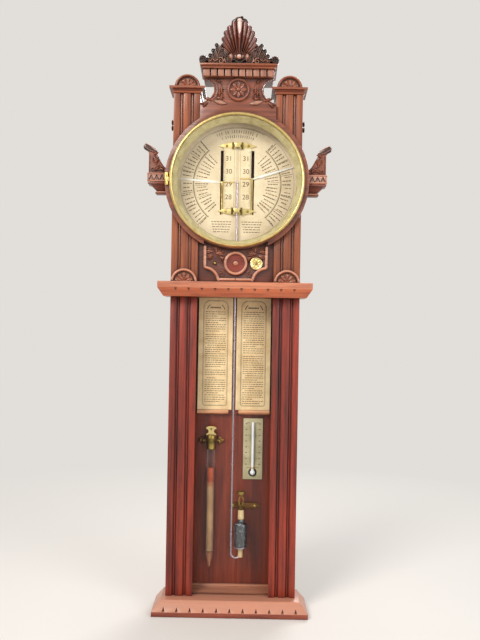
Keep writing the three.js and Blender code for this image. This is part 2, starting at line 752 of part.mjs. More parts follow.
// Carved front of the head: the ring round the dial and the frieze above it
const friezeTop = DRUM_TOP + FRIEZE_OVER_DRUM;
const shoulderZ = DRUM_TOP + SHOULDER_OVER_DRUM;
const shoulderIn = FRIEZE_HALF - SHOULDER_STEP;
const friezeShape = outline([
  [BETWEEN_POSTS, DIAL_Z],
  [BETWEEN_POSTS, shoulderZ],
  [shoulderIn, shoulderZ + SHOULDER_SLOPE],
  [FRIEZE_HALF, shoulderZ + SHOULDER_SLOPE],
  [FRIEZE_HALF, friezeTop],
  [-FRIEZE_HALF, friezeTop],
  [-FRIEZE_HALF, shoulderZ + SHOULDER_SLOPE],
  [-shoulderIn, shoulderZ + SHOULDER_SLOPE],
  [-BETWEEN_POSTS, shoulderZ],
  [-BETWEEN_POSTS, DIAL_Z],
]);
const friezeScoopX = FRIEZE_HALF + SCOOP_OUTSIDE;
const friezeScoopZ = DRUM_TOP + SCOOP_OVER_DRUM;
function scoop(side) {
  return disc(FRIEZE_SCOOP_R, FRIEZE_BACK - OVERRUN, FRIEZE_FRONT + OVERRUN, side * friezeScoopX,
    friezeScoopZ);
}
const ringMiddle = (DRUM_R + HEAD_LIP_R) / 2;
const frieze = cut(
  plate(friezeShape, FRIEZE_BACK, FRIEZE_FRONT),
  scoop(1),
  scoop(-1),
  disc(ringMiddle, FRIEZE_BACK - OVERRUN, FRIEZE_FRONT + OVERRUN, 0, DIAL_Z, DIAL_SEGMENTS),
);
const surroundRing = facing(closedProfile([
  [DRUM_R, SURROUND_BACK],
  [DRUM_R, FRIEZE_FRONT],
  [HEAD_LIP_R, FRIEZE_FRONT],
  [HEAD_LIP_R, FRIEZE_BACK],
  [SIGHT_SEAT_R, FRIEZE_BACK],
  [SIGHT_SEAT_R, SURROUND_BACK],
]), 0, DIAL_Z, DIAL_SEGMENTS);
const apronNotch = cut(
  block(-APRON_FIELD_HALF - GAP, APRON_FIELD_HALF + GAP, SURROUND_BACK - OVERRUN, FRIEZE_FRONT + OVERRUN,
    DIAL_Z - 2 * DRUM_R, DIAL_Z),
  disc(APRON_EDGE_R - GAP, 0, PLINTH_FRONT, 0, DIAL_Z, DIAL_SEGMENTS),
);
part('dial_surround', cut(join(surroundRing, frieze), apronNotch), 'carved_oak');

const headBoardBase = DIAL_Z + HEAD_CLEAR_R + GAP;
part('head_top_board', block(
  -BETWEEN_POSTS, BETWEEN_POSTS, CASE_BACK, POST_FRONT, headBoardBase, headBoardBase + HEAD_BOARD_T), 'oak');

const rosetteFront = FRIEZE_FRONT + GAP + ROSETTE_T;
const rosetteRim = rosetteFront - ROSETTE_T / 3;
const rosetteBowl = rosetteRim - ROSETTE_T / 3;
const rosetteRingShare = 0.24;
const rosettePetalShare = 0.68;
const rosettePetalWidthShare = 0.36;
const rosettePetalRiseShare = 0.6;
const rosettePetals = Array.from({ length: ROSETTE_PETALS }, (_, i) => ({
  length: ROSETTE_R * rosettePetalShare,
  width: ROSETTE_R * rosettePetalWidthShare,
  thickness: ROSETTE_T * rosettePetalRiseShare,
  degrees: i * 360 / ROSETTE_PETALS,
}));
const rosetteZ = DRUM_TOP + ROSETTE_OVER_DRUM;
part('frieze_rosette', join(
  facing([
    [0, FRIEZE_FRONT + GAP],
    [ROSETTE_R, FRIEZE_FRONT + GAP],
    [ROSETTE_R, rosetteRim],
    [ROSETTE_R * (1 - rosetteRingShare / 2), rosetteFront],
    [ROSETTE_R * (1 - rosetteRingShare), rosetteRim],
    [ROSETTE_R * (1 - rosetteRingShare), rosetteBowl],
    [0, rosetteBowl],
  ], 0, rosetteZ, ROUNDEL_SEGMENTS),
  ...fan(rosettePetals, 0, rosetteZ, rosetteBowl),
), 'carved_oak');

const dentilPitch = 2 * DENTIL_HALF / DENTIL_COUNT;
const dentilTop = DENTIL_BASE + DENTIL_H;
const dentilGaps = Array.from({ length: DENTIL_COUNT - 1 }, (_, i) => {
  const x = (i + 1 - DENTIL_COUNT / 2) * dentilPitch;
  const half = DENTIL_GAP / 2;
  return block(x - half, x + half, DENTIL_FRONT - DENTIL_CUT, DENTIL_FRONT + OVERRUN,
    DENTIL_BASE - OVERRUN, dentilTop + OVERRUN);
});
part('dentil_band', cut(
  block(-DENTIL_HALF, DENTIL_HALF, CASE_BACK, DENTIL_FRONT, DENTIL_BASE, dentilTop),
  ...dentilGaps,
), 'oak');

const corniceShares = [[0, 1], [0.35, 1], [0.6, 0], [1, 0.12]];
const corniceLevels = corniceShares.map(([rise, inset]) => [CORNICE_BASE + rise * CORNICE_H,
  inset * CORNICE_COVE]);
part('cornice', moulded(corniceLevels, -CORNICE_HALF, CORNICE_HALF, 0, CORNICE_FRONT), 'oak');

// Shell crest: a scalloped fan of flutes on a shaped board, with acanthus leaves that step down to a scroll
// at each end. A flute's shares are its top across and up, and a leaf's its root across, its length and
// its lean.
const crestMiddle = CREST_BACK + CREST_T / 2;
const shellRoot = CREST_BASE + SHELL_ROOT_RISE;
const shellRise = CREST_RISE - SHELL_ROOT_RISE;
const fluteShares = [[0, 0.9], [0.32, 0.85], [0.6, 0.75], [0.83, 0.61], [0.97, 0.44], [1, 0.24]];
function flute(side, [across, up], order) {
  const rootX = SHELL_ROOT_HALF * order / (fluteShares.length - 1);
  const lean = SHELL_HALF * across - rootX;
  const rise = shellRise * up;
  return petal(Math.hypot(lean, rise), FLUTE_W, FLUTE_T, fluteRingShares)
    .rotateY(side * Math.atan2(lean, rise))
    .translate(side * rootX, BACK_Y - crestMiddle, shellRoot);
}
const leafShares = [[0.35, 0.6, 0.03], [0.48, 0.97, 0.05], [0.57, 0.72, 0.12], [0.65, 0.46, 0.2]];
function acanthus(side, [across, reach, lean]) {
  return petal(LEAF_LENGTH * reach, LEAF_W, LEAF_T)
    .rotateY(side * lean * Math.PI)
    .translate(side * across * CREST_HALF, BACK_Y - crestMiddle, CREST_BASE + VOLUTE_R);
}
const voluteX = CREST_HALF - VOLUTE_R;
const boardShares = [
  [0.92, 0], [0.92, 0.22], [0.78, 0.18], [0.72, 0.22], [0.65, 0.31], [0.59, 0.41], [0.52, 0.42], [0.44, 0.35],
  [0.39, 0.46], [0.39, 0.58], [0.29, 0.73], [0.16, 0.83],
];
const boardRight = boardShares.map(([across, up]) => [across * CREST_HALF, CREST_BASE + up * CREST_RISE]);
const boardLeft = boardRight.map(([x, z]) => [-x, z]).reverse();
const shellBoardShare = 0.6;
part('crest', cut(join(
  plate(outline([...boardRight, ...boardLeft]), CREST_BACK, CREST_BACK + CREST_T * shellBoardShare),
  petal(SHELL_TIP_H, SHELL_TIP_W, SHELL_TIP_T)
    .translate(0, BACK_Y - CREST_BACK - SHELL_TIP_T / 2, CREST_BASE + CREST_RISE - SHELL_TIP_H),
  ...fluteShares.flatMap((shares, i) => (i ? [-1, 1] : [1]).map((side) => flute(side, shares, i))),
  ...[-1, 1].flatMap((side) => leafShares.map((shares) => acanthus(side, shares))),
  ...[-1, 1].map((side) => disc(
    VOLUTE_R, CREST_BACK, CREST_BACK + CREST_T, side * voluteX, CREST_BASE + VOLUTE_RISE - VOLUTE_R)),
  disc(SHELL_BEAD_R, CREST_BACK, CREST_BACK + CREST_T, 0, shellRoot - SHELL_BEAD_R, FINE_SEGMENTS),
), block(-CORNICE_HALF, CORNICE_HALF, 0, CORNICE_FRONT, CORNICE_BASE, CREST_BASE)), 'carved_oak');

// Apron: a back panel, a shaped field with a raised border, and the turned roundel
const edgeDisc = disc(APRON_EDGE_R, 0, PLINTH_FRONT, 0, DIAL_Z, DIAL_SEGMENTS);
const apronBack = SURROUND_BACK;
const apronFront = apronBack + APRON_T;
const fieldFront = apronFront + APRON_FIELD_T;
const scoopZ = HEAD_BASE;
function apronOutline(inset) {
  const half = APRON_FIELD_HALF - inset;
  const low = HEAD_BASE + inset;
  const radius = APRON_SCOOP_R + inset;
  const centre = APRON_FIELD_HALF;
  const dropSide = Math.sqrt(radius ** 2 - inset ** 2);
  const shape = new THREE.Shape();
  shape.moveTo(half, DIAL_Z);
  shape.lineTo(half, scoopZ + dropSide);
  shape.absarc(centre, scoopZ, radius, Math.PI - Math.acos(inset / radius),
    Math.PI - Math.asin(inset / radius));
  shape.lineTo(-(centre - dropSide), low);
  shape.absarc(-centre, scoopZ, radius, Math.asin(inset / radius), Math.acos(inset / radius));
  shape.lineTo(-half, DIAL_Z);
  return shape;
}
const apronField = plate(apronOutline(0), apronBack, fieldFront);
const apronBorder = cut(
  plate(apronOutline(0), apronBack, fieldFront + APRON_BORDER_T),
  plate(apronOutline(APRON_BORDER_W), fieldFront, fieldFront + APRON_BORDER_T + OVERRUN),
);
const apronBase = cut(
  block(-BETWEEN_POSTS, BETWEEN_POSTS, apronBack, apronFront, HEAD_BASE, DIAL_Z),
  drumCutter,
);
const spindleHoles = [-1, 1].map((side) => disc(
  SPINDLE_HOLE_R, apronBack - OVERRUN, fieldFront + OVERRUN, side * SPINDLE_X, SPINDLE_Z, FINE_SEGMENTS));
part('apron_panel', cut(
  join(apronBase, cut(join(apronField, apronBorder), edgeDisc)),
  ...spindleHoles,
), 'carved_oak');

const roundelBack = fieldFront + GAP;
const roundelFront = roundelBack + ROUNDEL_T;
const roundelShares = [
  [0, 0], [1, 0], [1, 0.6], [0.93, 1], [0.8, 0.9], [0.74, 0.45], [0.6, 0.3], [0.36, 0.42], [0.22, 0.42],
    [0.16, 1],
  [0, 1],
];
part('apron_roundel', facing(
  roundelShares.map(([across, rise]) => [across * ROUNDEL_R,
    roundelBack + rise * (roundelFront - roundelBack)]),
  0, SPINDLE_Z, ROUNDEL_SEGMENTS), 'carved_oak');

// Bezel, its glass and its hinge

const bezelWidth = BEZEL_R - BEZEL_BORE_R;
const rebateR = DIAL_PANE_R + GAP;
const rebateFront = BEZEL_BACK + BEZEL_REBATE;
const bezelRollShares = [[1, 0], [1, 0.34], [0.72, 0.8], [0.3, 1], [0, 0.73]];
const hingeDepth = BEZEL_BACK + HINGE_R;
const hingeBore = HINGE_PIN_R + GAP;
const bezelRing = facing(closedProfile([
  [rebateR, BEZEL_BACK],
  ...bezelRollShares.map(([across, rise]) => [BEZEL_BORE_R + across * bezelWidth,
    BEZEL_BACK + rise * BEZEL_T]),
  [BEZEL_BORE_R, rebateFront],
  [rebateR, rebateFront],
]), 0, DIAL_Z, DIAL_SEGMENTS);
const bezelKnuckle = rod(HINGE_R, DIAL_Z - HINGE_KNUCKLE_HALF, DIAL_Z + HINGE_KNUCKLE_HALF, -HINGE_X,
  hingeDepth);
const knuckleArm = block(
  -HINGE_X, -(rebateR + BEZEL_R) / 2, hingeDepth - HINGE_LEAF_T, hingeDepth + HINGE_LEAF_T,
  DIAL_Z - HINGE_KNUCKLE_HALF, DIAL_Z + HINGE_KNUCKLE_HALF);
const pinHole = rod(hingeBore, DIAL_Z - HINGE_HALF, DIAL_Z + HINGE_HALF, -HINGE_X, hingeDepth);
part('bezel', cut(join(bezelRing, bezelKnuckle, knuckleArm), pinHole), 'brass');

const bezelPaneFront = rebateFront - GAP;
part('bezel_glass', disc(
  DIAL_PANE_R, bezelPaneFront - BEZEL_PANE_T, bezelPaneFront, 0, DIAL_Z, DIAL_SEGMENTS), 'glass');

const hingeLeaf = block(
  -HINGE_X - HINGE_LEAF_W, -HINGE_X, BEZEL_BACK, BEZEL_BACK + HINGE_LEAF_T, DIAL_Z - HINGE_HALF,
    DIAL_Z + HINGE_HALF);
const hingeBarrel = rod(HINGE_R, DIAL_Z - HINGE_HALF, DIAL_Z + HINGE_HALF, -HINGE_X, hingeDepth);
const knuckleRoom = rod(
  HINGE_R + GAP, DIAL_Z - HINGE_KNUCKLE_HALF - GAP, DIAL_Z + HINGE_KNUCKLE_HALF + GAP, -HINGE_X, hingeDepth);
const hingePin = rod(HINGE_PIN_R, DIAL_Z - HINGE_HALF, DIAL_Z + HINGE_HALF, -HINGE_X, hingeDepth);
part('bezel_hinge', join(cut(join(hingeLeaf, hingeBarrel), knuckleRoom), hingePin), 'brass');

part('sight_ring', facing(closedProfile([
  [SIGHT_BORE_R, SIGHT_BACK],
  [SIGHT_SEAT_R - GAP, SIGHT_BACK],
  [SIGHT_SEAT_R - GAP, FRIEZE_BACK - GAP],
  [HEAD_LIP_R - GAP, FRIEZE_BACK - GAP],
  [HEAD_LIP_R - GAP, SIGHT_LIP_D],
  [BEZEL_BORE_R, SIGHT_LIP_D],
]), 0, DIAL_Z, DIAL_SEGMENTS), 'gilt');

// Dial board, paper, scale plate and the clips that hold the tube

const boardR = drumWall - GAP;
const paperBack = DIAL_BOARD_FRONT + GAP;
const slotTop = DIAL_Z + SLOT_TOP_RISE;
const boardBottom = DIAL_Z - boardR - OVERRUN;
function slotPair(low, back, front) {
  return [
    block(SLOT_IN, SLOT_OUT, back, front, low, slotTop),
    block(-SLOT_OUT, -SLOT_IN, back, front, low, slotTop),
  ];
}
const arborHole = disc(ARBOR_R + GAP, 0, PLINTH_FRONT, 0, DIAL_Z, FINE_SEGMENTS);
part('dial_board', cut(
  disc(boardR, DIAL_BOARD_BACK, DIAL_BOARD_FRONT, 0, DIAL_Z, DIAL_SEGMENTS),
  ...slotPair(boardBottom, DIAL_BOARD_BACK - OVERRUN, DIAL_BOARD_FRONT + OVERRUN),
  arborHole,
), 'back_oak');
part('dial_paper', cut(
  disc(boardR - GAP, paperBack, PAPER_FRONT, 0, DIAL_Z, DIAL_SEGMENTS),
  ...slotPair(DIAL_Z - PAPER_SLOT_DROP, paperBack - OVERRUN, PAPER_FRONT + OVERRUN),
  arborHole,
), 'paper');

const clipTopZ = DIAL_Z + CLIP_TOP_RISE;
const clipBottomZ = DIAL_Z - CLIP_DROP;
const scaleLow = clipBottomZ + CLIP_H / 2 - CLIP_LAP;
const scaleHigh = clipTopZ - CLIP_H / 2 + CLIP_LAP;
part('scale_plate', block(
  -SCALE_HALF, SCALE_HALF, SCALE_BACK, SCALE_BACK + SCALE_T, scaleLow, scaleHigh), 'card');

function tubeClip(z) {
  const half = CLIP_LENGTH / 2;
  const rise = CLIP_H / 2;
  const radius = (half ** 2 + rise ** 2) / (2 * rise);
  const reach = Math.asin(half / radius);
  const lens = new THREE.Shape();
  lens.absarc(0, z + rise - radius, radius, Math.PI / 2 - reach, Math.PI / 2 + reach);
  lens.absarc(0, z - rise + radius, radius, -Math.PI / 2 - reach, -Math.PI / 2 + reach);
  const clipBack = PAPER_FRONT + GAP;
  const jawR = TUBE_R + GAP;
  const jawFront = TUBE_DEPTH + jawR + CLIP_WALL;
  const jaw = block(
    -CLIP_JAW_HALF, CLIP_JAW_HALF, clipBack, jawFront, z - CLIP_JAW_H / 2, z + CLIP_JAW_H / 2);
  return cut(
    join(plate(lens, clipBack, clipBack + CLIP_T), jaw),
    rod(jawR, z - CLIP_H, z + CLIP_H, 0, TUBE_DEPTH),
  );
}
part('tube_clip_top', tubeClip(clipTopZ), 'brass');
part('tube_clip_bottom', tubeClip(clipBottomZ), 'brass');

// Register hands on one fixed arbor
part('hand_arbor', disc(ARBOR_R, DIAL_BOARD_BACK + GAP, ARBOR_FRONT, 0, DIAL_Z, FINE_SEGMENTS), 'brass');

const stem = HAND_STEM_W / 2;
const blade = HAND_BLADE_W / 2;
const bladeStart = HAND_STEM + HAND_BLADE_W;
const bladeEnd = HAND_LENGTH - HAND_BLADE_W;
function hand(back, degrees) {
  const arm = plate(outline([
    [0, -stem],
    [HAND_STEM, -stem],
    [bladeStart, -blade],
    [bladeEnd, -stem],
    [HAND_LENGTH, 0],
    [bladeEnd, stem],
    [bladeStart, blade],
    [HAND_STEM, stem],
    [0, stem],
  ]), back, back + HAND_T).rotateY(-THREE.MathUtils.degToRad(degrees)).translate(0, 0, DIAL_Z);
  return cut(join(disc(HAND_HUB_R, back, back + HAND_T, 0, DIAL_Z, FINE_SEGMENTS), arm), arborHole);
}
part('hand_right', hand(HAND_RIGHT_BACK, HAND_RIGHT_DEG), 'enamel');
part('hand_left', mirrored(hand(HAND_LEFT_BACK, HAND_LEFT_DEG)), 'enamel');

// Setting work: spindles with cut pinions, and racks that carry the index pointers

const pressure = THREE.MathUtils.degToRad(PRESSURE_DEG);
const toothPitch = Math.PI * MODULE;
const toothHalf = toothPitch / 4 - BACKLASH / 4;

function involute(angle) {
  return Math.tan(angle) - angle;
}

// One involute spur gear outline with a tooth centred on each of the given count of directions.
function pinionOutline(x, z) {
  const base = PINION_R * Math.cos(pressure);
  const tip = PINION_R + ADDENDUM;
  const root = PINION_R - DEDENDUM;
  const halfAt = (r) => toothHalf / PINION_R + involute(pressure) - involute(Math.acos(Math.min(1,
    base / r)));
  const flank = [root, base, PINION_R, tip];
  const points = [];
  for (let tooth = 0; tooth < PINION_TEETH; tooth += 1) {
    const centre = tooth * 2 * Math.PI / PINION_TEETH;
    const side = flank.map((r) => [r, halfAt(Math.max(r, base))]);
    side.forEach(([r, half]) => points.push([x + r * Math.cos(centre - half),
      z + r * Math.sin(centre - half)]));
    side.reverse().forEach(([r, half]) => points.push([
      x + r * Math.cos(centre + half), z + r * Math.sin(centre + half)]));
  }
  return outline(points);
}

const spindleBack = CASE_BACK + GAP * 4;
const spindle = join(
  disc(SPINDLE_R, spindleBack, spindleBack + SPINDLE_LENGTH, SPINDLE_X, SPINDLE_Z, FINE_SEGMENTS),
  plate(pinionOutline(SPINDLE_X, SPINDLE_Z), PINION_BACK, PINION_BACK + PINION_T),
);
pair('spindle', spindle, 'brass');

const knobBack = fieldFront + KNOB_STANDOFF;
const knobShares = [[0, 1], [0.18, 1], [0.3, 0.62], [0.72, 0.62], [0.84, 0.9], [1, 0.6], [1, 0]];
const knobHubBack = fieldFront + GAP * 2;
const spindleRoom = disc(SPINDLE_R + GAP, 0, spindleBack + SPINDLE_LENGTH + GAP, SPINDLE_X, SPINDLE_Z,
  FINE_SEGMENTS);
part('setting_knob_right', cut(join(
  facing([
    ...knobShares.map(([across, rise]) => [across * KNOB_R, knobBack + rise * KNOB_T]),
    [0, knobBack],
  ], SPINDLE_X, SPINDLE_Z),
  disc(KNOB_HUB_R, knobHubBack, knobBack + KNOB_T / 2, SPINDLE_X, SPINDLE_Z, FINE_SEGMENTS),
), spindleRoom), 'brass');

const battenHoles = [-1, 1].map((side) => disc(
  SPINDLE_R + GAP, 0, CASE_BACK + BATTEN_T + OVERRUN, side * SPINDLE_X, SPINDLE_Z, FINE_SEGMENTS));
part('spindle_batten', cut(block(
  -BATTEN_HALF, BATTEN_HALF, CASE_BACK, CASE_BACK + BATTEN_T, SPINDLE_Z - BATTEN_H / 2,
    SPINDLE_Z + BATTEN_H / 2),
...battenHoles), 'back_oak');

function rack(indexRise) {
  const index = DIAL_Z + indexRise;
  const foot = index - RACK_FOOT_DROP;
  const head = index - RACK_HEAD_DROP;
  const rootX = RACK_PITCH_X - DEDENDUM;
  const tipX = RACK_PITCH_X + ADDENDUM;
  const lean = Math.tan(pressure);
  const first = Math.ceil((foot - SPINDLE_Z) / toothPitch);
  const last = Math.floor((index - RACK_TEETH_DROP - SPINDLE_Z) / toothPitch);
  const points = [[RACK_IN, foot], [rootX, foot]];
  for (let tooth = first; tooth < last; tooth += 1) {
    const centre = SPINDLE_Z + (tooth + 0.5) * toothPitch;
    const rootHalf = toothHalf + DEDENDUM * lean;
    const tipHalf = toothHalf - ADDENDUM * lean;
    points.push([rootX, centre - rootHalf], [tipX, centre - tipHalf]);
    points.push([tipX, centre + tipHalf], [rootX, centre + rootHalf]);
  }
  points.push([rootX, head], [RACK_IN, head]);
  const bar = (RACK_IN + rootX) / 2;
  const pointX = INDEX_IN + INDEX_POINT_LENGTH;
  const pointer = outline([
    [bar + INDEX_BAR_HALF, index - INDEX_BAR_DROP],
    [bar + INDEX_BAR_HALF, index + INDEX_POINT_HALF],
    [bar - INDEX_BAR_HALF, index + INDEX_POINT_HALF],
    [bar - INDEX_BAR_HALF, index + INDEX_ARM_HALF],
    [pointX, index + INDEX_ARM_HALF],
    [pointX, index + INDEX_POINT_HALF],
    [INDEX_IN, index],
    [pointX, index - INDEX_POINT_HALF],
    [pointX, index - INDEX_ARM_HALF],
    [bar - INDEX_BAR_HALF, index - INDEX_ARM_HALF],
    [bar - INDEX_BAR_HALF, index - INDEX_BAR_DROP],
  ]);
  return join(
    plate(outline(points), RACK_BACK, RACK_BACK + RACK_T),
    disc(STUD_R, RACK_BACK + RACK_T / 2, INDEX_BACK + INDEX_T / 2, bar, index - STUD_DROP, SMALL_SEGMENTS),
    plate(pointer, INDEX_BACK, INDEX_BACK + INDEX_T),
  );
}
part('rack_right', rack(INDEX_RIGHT_RISE), 'brass');
part('rack_left', mirrored(rack(INDEX_LEFT_RISE)), 'brass');

// Siphon tube with its bottle cistern, and the mercury in it

class HalfTurn extends THREE.Curve {
  getPoint(t, target = new THREE.Vector3()) {
    const angle = Math.PI * (1 + t);
    return target.set(
      BEND_R + BEND_R * Math.cos(angle), BACK_Y - TUBE_DEPTH, BEND_Z + BEND_R * Math.sin(angle));
  }
}

function siphonBend(radius) {
  const section = new THREE.Shape();
  section.absarc(0, 0, radius, 0, Math.PI * 2);
  return new THREE.ExtrudeGeometry(section, {
    steps: SMALL_SEGMENTS, curveSegments: FINE_SEGMENTS / 2, extrudePath: new HalfTurn(), bevelEnabled: false,
  });
}

const tubeTop = DIAL_Z + TUBE_TOP_RISE;
const bottleBodyTop = BOTTLE_FOOT_Z + BOTTLE_FOOT_RISE + BOTTLE_BODY_H;
const neckBase = bottleBodyTop + BOTTLE_SHOULDER_H;
const neckTop = neckBase + BOTTLE_NECK_H;
const footShare = 0.6;

// The bottle's lower half as a profile, drawn in on every side by an inset.
function bottleFoot(inset) {
  return [
    [0, BOTTLE_FOOT_Z + inset],
    [BOTTLE_R * footShare - inset, BOTTLE_FOOT_Z + inset],
    [BOTTLE_R - inset, BOTTLE_FOOT_Z + BOTTLE_FOOT_RISE + inset],
  ];
}
function siphon(radius, longTop, shortTop) {
  return join(
    siphonBend(radius),
    rod(radius, BEND_Z - GAP, longTop, 0, TUBE_DEPTH),
    rod(radius, BEND_Z - GAP, shortTop, BOTTLE_X, TUBE_DEPTH),
  );
}
const glassBody = join(siphon(TUBE_R, tubeTop, BOTTLE_FOOT_Z + BOTTLE_WALL / 2), turned([
  ...bottleFoot(0),
  [BOTTLE_R, bottleBodyTop],
  [NECK_R, neckBase],
  [NECK_R, neckTop],
  [0, neckTop],
], BOTTLE_X, TUBE_DEPTH));
const glassBore = join(siphon(TUBE_BORE_R, tubeTop - TUBE_R, BOTTLE_FOOT_Z + BOTTLE_WALL * 2), turned([
  ...bottleFoot(BOTTLE_WALL),
  [BOTTLE_R - BOTTLE_WALL, bottleBodyTop - BOTTLE_WALL],
  [NECK_BORE_R, neckBase - BOTTLE_WALL],
  [NECK_BORE_R, neckTop + OVERRUN],
  [0, neckTop + OVERRUN],
], BOTTLE_X, TUBE_DEPTH));
part('barometer_tube', cut(glassBody, glassBore), 'glass');

const poolInset = BOTTLE_WALL + MERCURY_CLEAR;
const poolTop = BOTTLE_FOOT_Z + POOL_RISE;
part('mercury', join(
  siphon(TUBE_BORE_R - MERCURY_CLEAR, DIAL_Z + COLUMN_RISE, BOTTLE_FOOT_Z + BOTTLE_WALL * 3),
  turned([...bottleFoot(poolInset), [BOTTLE_R - poolInset, poolTop], [0, poolTop]], BOTTLE_X, TUBE_DEPTH),
), 'mercury');

const stopperBase = neckTop + GAP;
const collarBase = BRACKET_Z - BRACKET_ARM_H / 2;
const collarTop = BRACKET_Z + BRACKET_ARM_H / 2;
part('cistern_stopper', join(
  rod(NECK_BORE_R - GAP, stopperBase - STOPPER_PLUG, stopperBase + STOPPER_PLUG, BOTTLE_X, TUBE_DEPTH),
  turned([
    [0, stopperBase],
    [NECK_R, stopperBase],
    [STOPPER_R, collarBase - GAP],
    [0, collarBase - GAP],
  ], BOTTLE_X, TUBE_DEPTH),
), 'cork');

// Brass bracket: a plate on the backboard with an arm to a collar over the cistern
const collarBore = CAP_STEM_R + GAP;
const collarR = collarBore + COLLAR_WALL;
const bracketPointShare = 0.75;
const bracketPoint = BRACKET_H * bracketPointShare;
part('cistern_bracket', cut(join(
  plate(outline([
    [BRACKET_LEFT, BRACKET_Z - BRACKET_H / 2],
    [BRACKET_RIGHT - bracketPoint, BRACKET_Z - BRACKET_H / 2],
    [BRACKET_RIGHT, BRACKET_Z],
    [BRACKET_RIGHT - bracketPoint, BRACKET_Z + BRACKET_H / 2],
    [BRACKET_LEFT, BRACKET_Z + BRACKET_H / 2],
  ]), CASE_BACK, CASE_BACK + BRACKET_T),
  block(BOTTLE_X - BRACKET_ARM_HALF, BOTTLE_X + BRACKET_ARM_HALF, CASE_BACK, TUBE_DEPTH - collarBore,
    collarBase, collarTop),
  rod(collarR, collarBase, collarTop, BOTTLE_X, TUBE_DEPTH),
), rod(collarBore, collarBase - OVERRUN, collarTop + OVERRUN, BOTTLE_X, TUBE_DEPTH)), 'brass');

// Cistern cap: a flanged stem in the collar, an oval loop and a flat knob
const flangeBase = collarTop + GAP;
const flangeTop = flangeBase + CAP_LOOP_WALL;
const loopZ = flangeTop + CAP_LOOP_HALF_H - CAP_LOOP_WALL / 2;
const loopTop = loopZ + CAP_LOOP_HALF_H;
function loopOval(inset) {
  const oval = new THREE.Shape();
  oval.absellipse(BOTTLE_X, loopZ, CAP_LOOP_HALF_W - inset, CAP_LOOP_HALF_H - inset, 0, 2 * Math.PI);
  return oval;
}
const loopBack = TUBE_DEPTH - CAP_LOOP_WALL / 2;
const loopFront = TUBE_DEPTH + CAP_LOOP_WALL / 2;
part('cistern_cap', join(
  turned([
    [0, collarBase + GAP],
    [CAP_STEM_R, collarBase + GAP],
    [CAP_STEM_R, flangeBase],
    [collarR, flangeBase],
    [CAP_STEM_R, flangeTop],
    [0, flangeTop],
  ], BOTTLE_X, TUBE_DEPTH),
  cut(
    plate(loopOval(0), loopBack, loopFront, TURNED_SEGMENTS / 2),
    plate(loopOval(CAP_LOOP_WALL), loopBack - OVERRUN, loopFront + OVERRUN, TURNED_SEGMENTS / 2),
  ),
  turned([
    [0, loopTop - CAP_LOOP_WALL / 2],
    [CAP_NECK_R, loopTop - CAP_LOOP_WALL / 2],
    [CAP_NECK_R, loopTop + CAP_NECK_H / 3],
    [CAP_KNOB_R, loopTop + CAP_NECK_H / 3],
    [CAP_KNOB_R, loopTop + CAP_NECK_H],
    [0, loopTop + CAP_NECK_H],
  ], BOTTLE_X, TUBE_DEPTH, FINE_SEGMENTS),
), 'brass');

// Storm glass in its clamp

part('storm_glass', turned([
  [0, STORM_POINT_Z],
  [STORM_WALL, STORM_POINT_Z + STORM_WALL],
  [STORM_R, STORM_FOOT_Z],
  [STORM_R, STORM_TOP_Z],
  [STORM_R - STORM_WALL, STORM_TOP_Z],
  [STORM_R - STORM_WALL, STORM_FOOT_Z + STORM_WALL],
  [0, STORM_FOOT_Z + STORM_WALL],
], STORM_X, STORM_DEPTH), 'glass');
part('storm_liquid', rod(
  STORM_R - STORM_WALL - GAP, STORM_FOOT_Z + STORM_WALL + GAP, STORM_LIQUID_Z, STORM_X, STORM_DEPTH,
  TURNED_SEGMENTS), 'liquid');

const stormBore = STORM_R + GAP;
const stormCapR = stormBore + STORM_CAP_WALL;
const stormCapTop = STORM_CAP_Z + STORM_CAP_H;
const wingZ = STORM_CAP_Z + STORM_WING_RISE;
const leafR = STORM_WING_H / 4;
const lobeStepShare = 2.3;
const lobeReach = STORM_WING_HALF - leafR * lobeStepShare;
const clampPlate = [-1, 1].flatMap((side) => [
  disc(leafR, CASE_BACK, CASE_BACK + BRACKET_T, STORM_X + side * (STORM_WING_HALF - leafR), wingZ,
    FINE_SEGMENTS),
  disc(leafR, CASE_BACK, CASE_BACK + BRACKET_T, STORM_X + side * lobeReach, wingZ + leafR, FINE_SEGMENTS),
  disc(leafR, CASE_BACK, CASE_BACK + BRACKET_T, STORM_X + side * lobeReach, wingZ - leafR, FINE_SEGMENTS),
]);
const fanShape = new THREE.Shape();
const fanBase = stormCapTop - STORM_CAP_WALL;
const fanSpread = Math.asin(FAN_HALF / FAN_H);
const fanR = FAN_H + STORM_CAP_WALL;
fanShape.moveTo(STORM_X, fanBase);
fanShape.lineTo(STORM_X + fanR * Math.sin(fanSpread), fanBase + fanR * Math.cos(fanSpread));
fanShape.absarc(STORM_X, fanBase, fanR, Math.PI / 2 - fanSpread, Math.PI / 2 + fanSpread);
const clampBoss = cut(
  block(STORM_X - leafR, STORM_X + leafR, CASE_BACK, STORM_DEPTH, wingZ - leafR, wingZ + leafR),
  rod((stormBore + stormCapR) / 2, STORM_CAP_Z, stormCapTop, STORM_X, STORM_DEPTH, TURNED_SEGMENTS),
);
part('storm_clamp', join(
  turned([
    [0, STORM_TOP_Z + GAP],
    [stormBore, STORM_TOP_Z + GAP],
    [stormBore, STORM_CAP_Z],
    [stormCapR, STORM_CAP_Z],
    [stormCapR, stormCapTop],
    [0, stormCapTop],
  ], STORM_X, STORM_DEPTH),
  block(STORM_X - STORM_WING_HALF + leafR, STORM_X + STORM_WING_HALF - leafR, CASE_BACK,
    CASE_BACK + BRACKET_T,
    wingZ - leafR / 2, wingZ + leafR / 2),
  clampBoss,
  ...clampPlate,
  plate(fanShape, STORM_DEPTH - BRACKET_T, STORM_DEPTH + BRACKET_T),
), 'brass');

// Thermometer

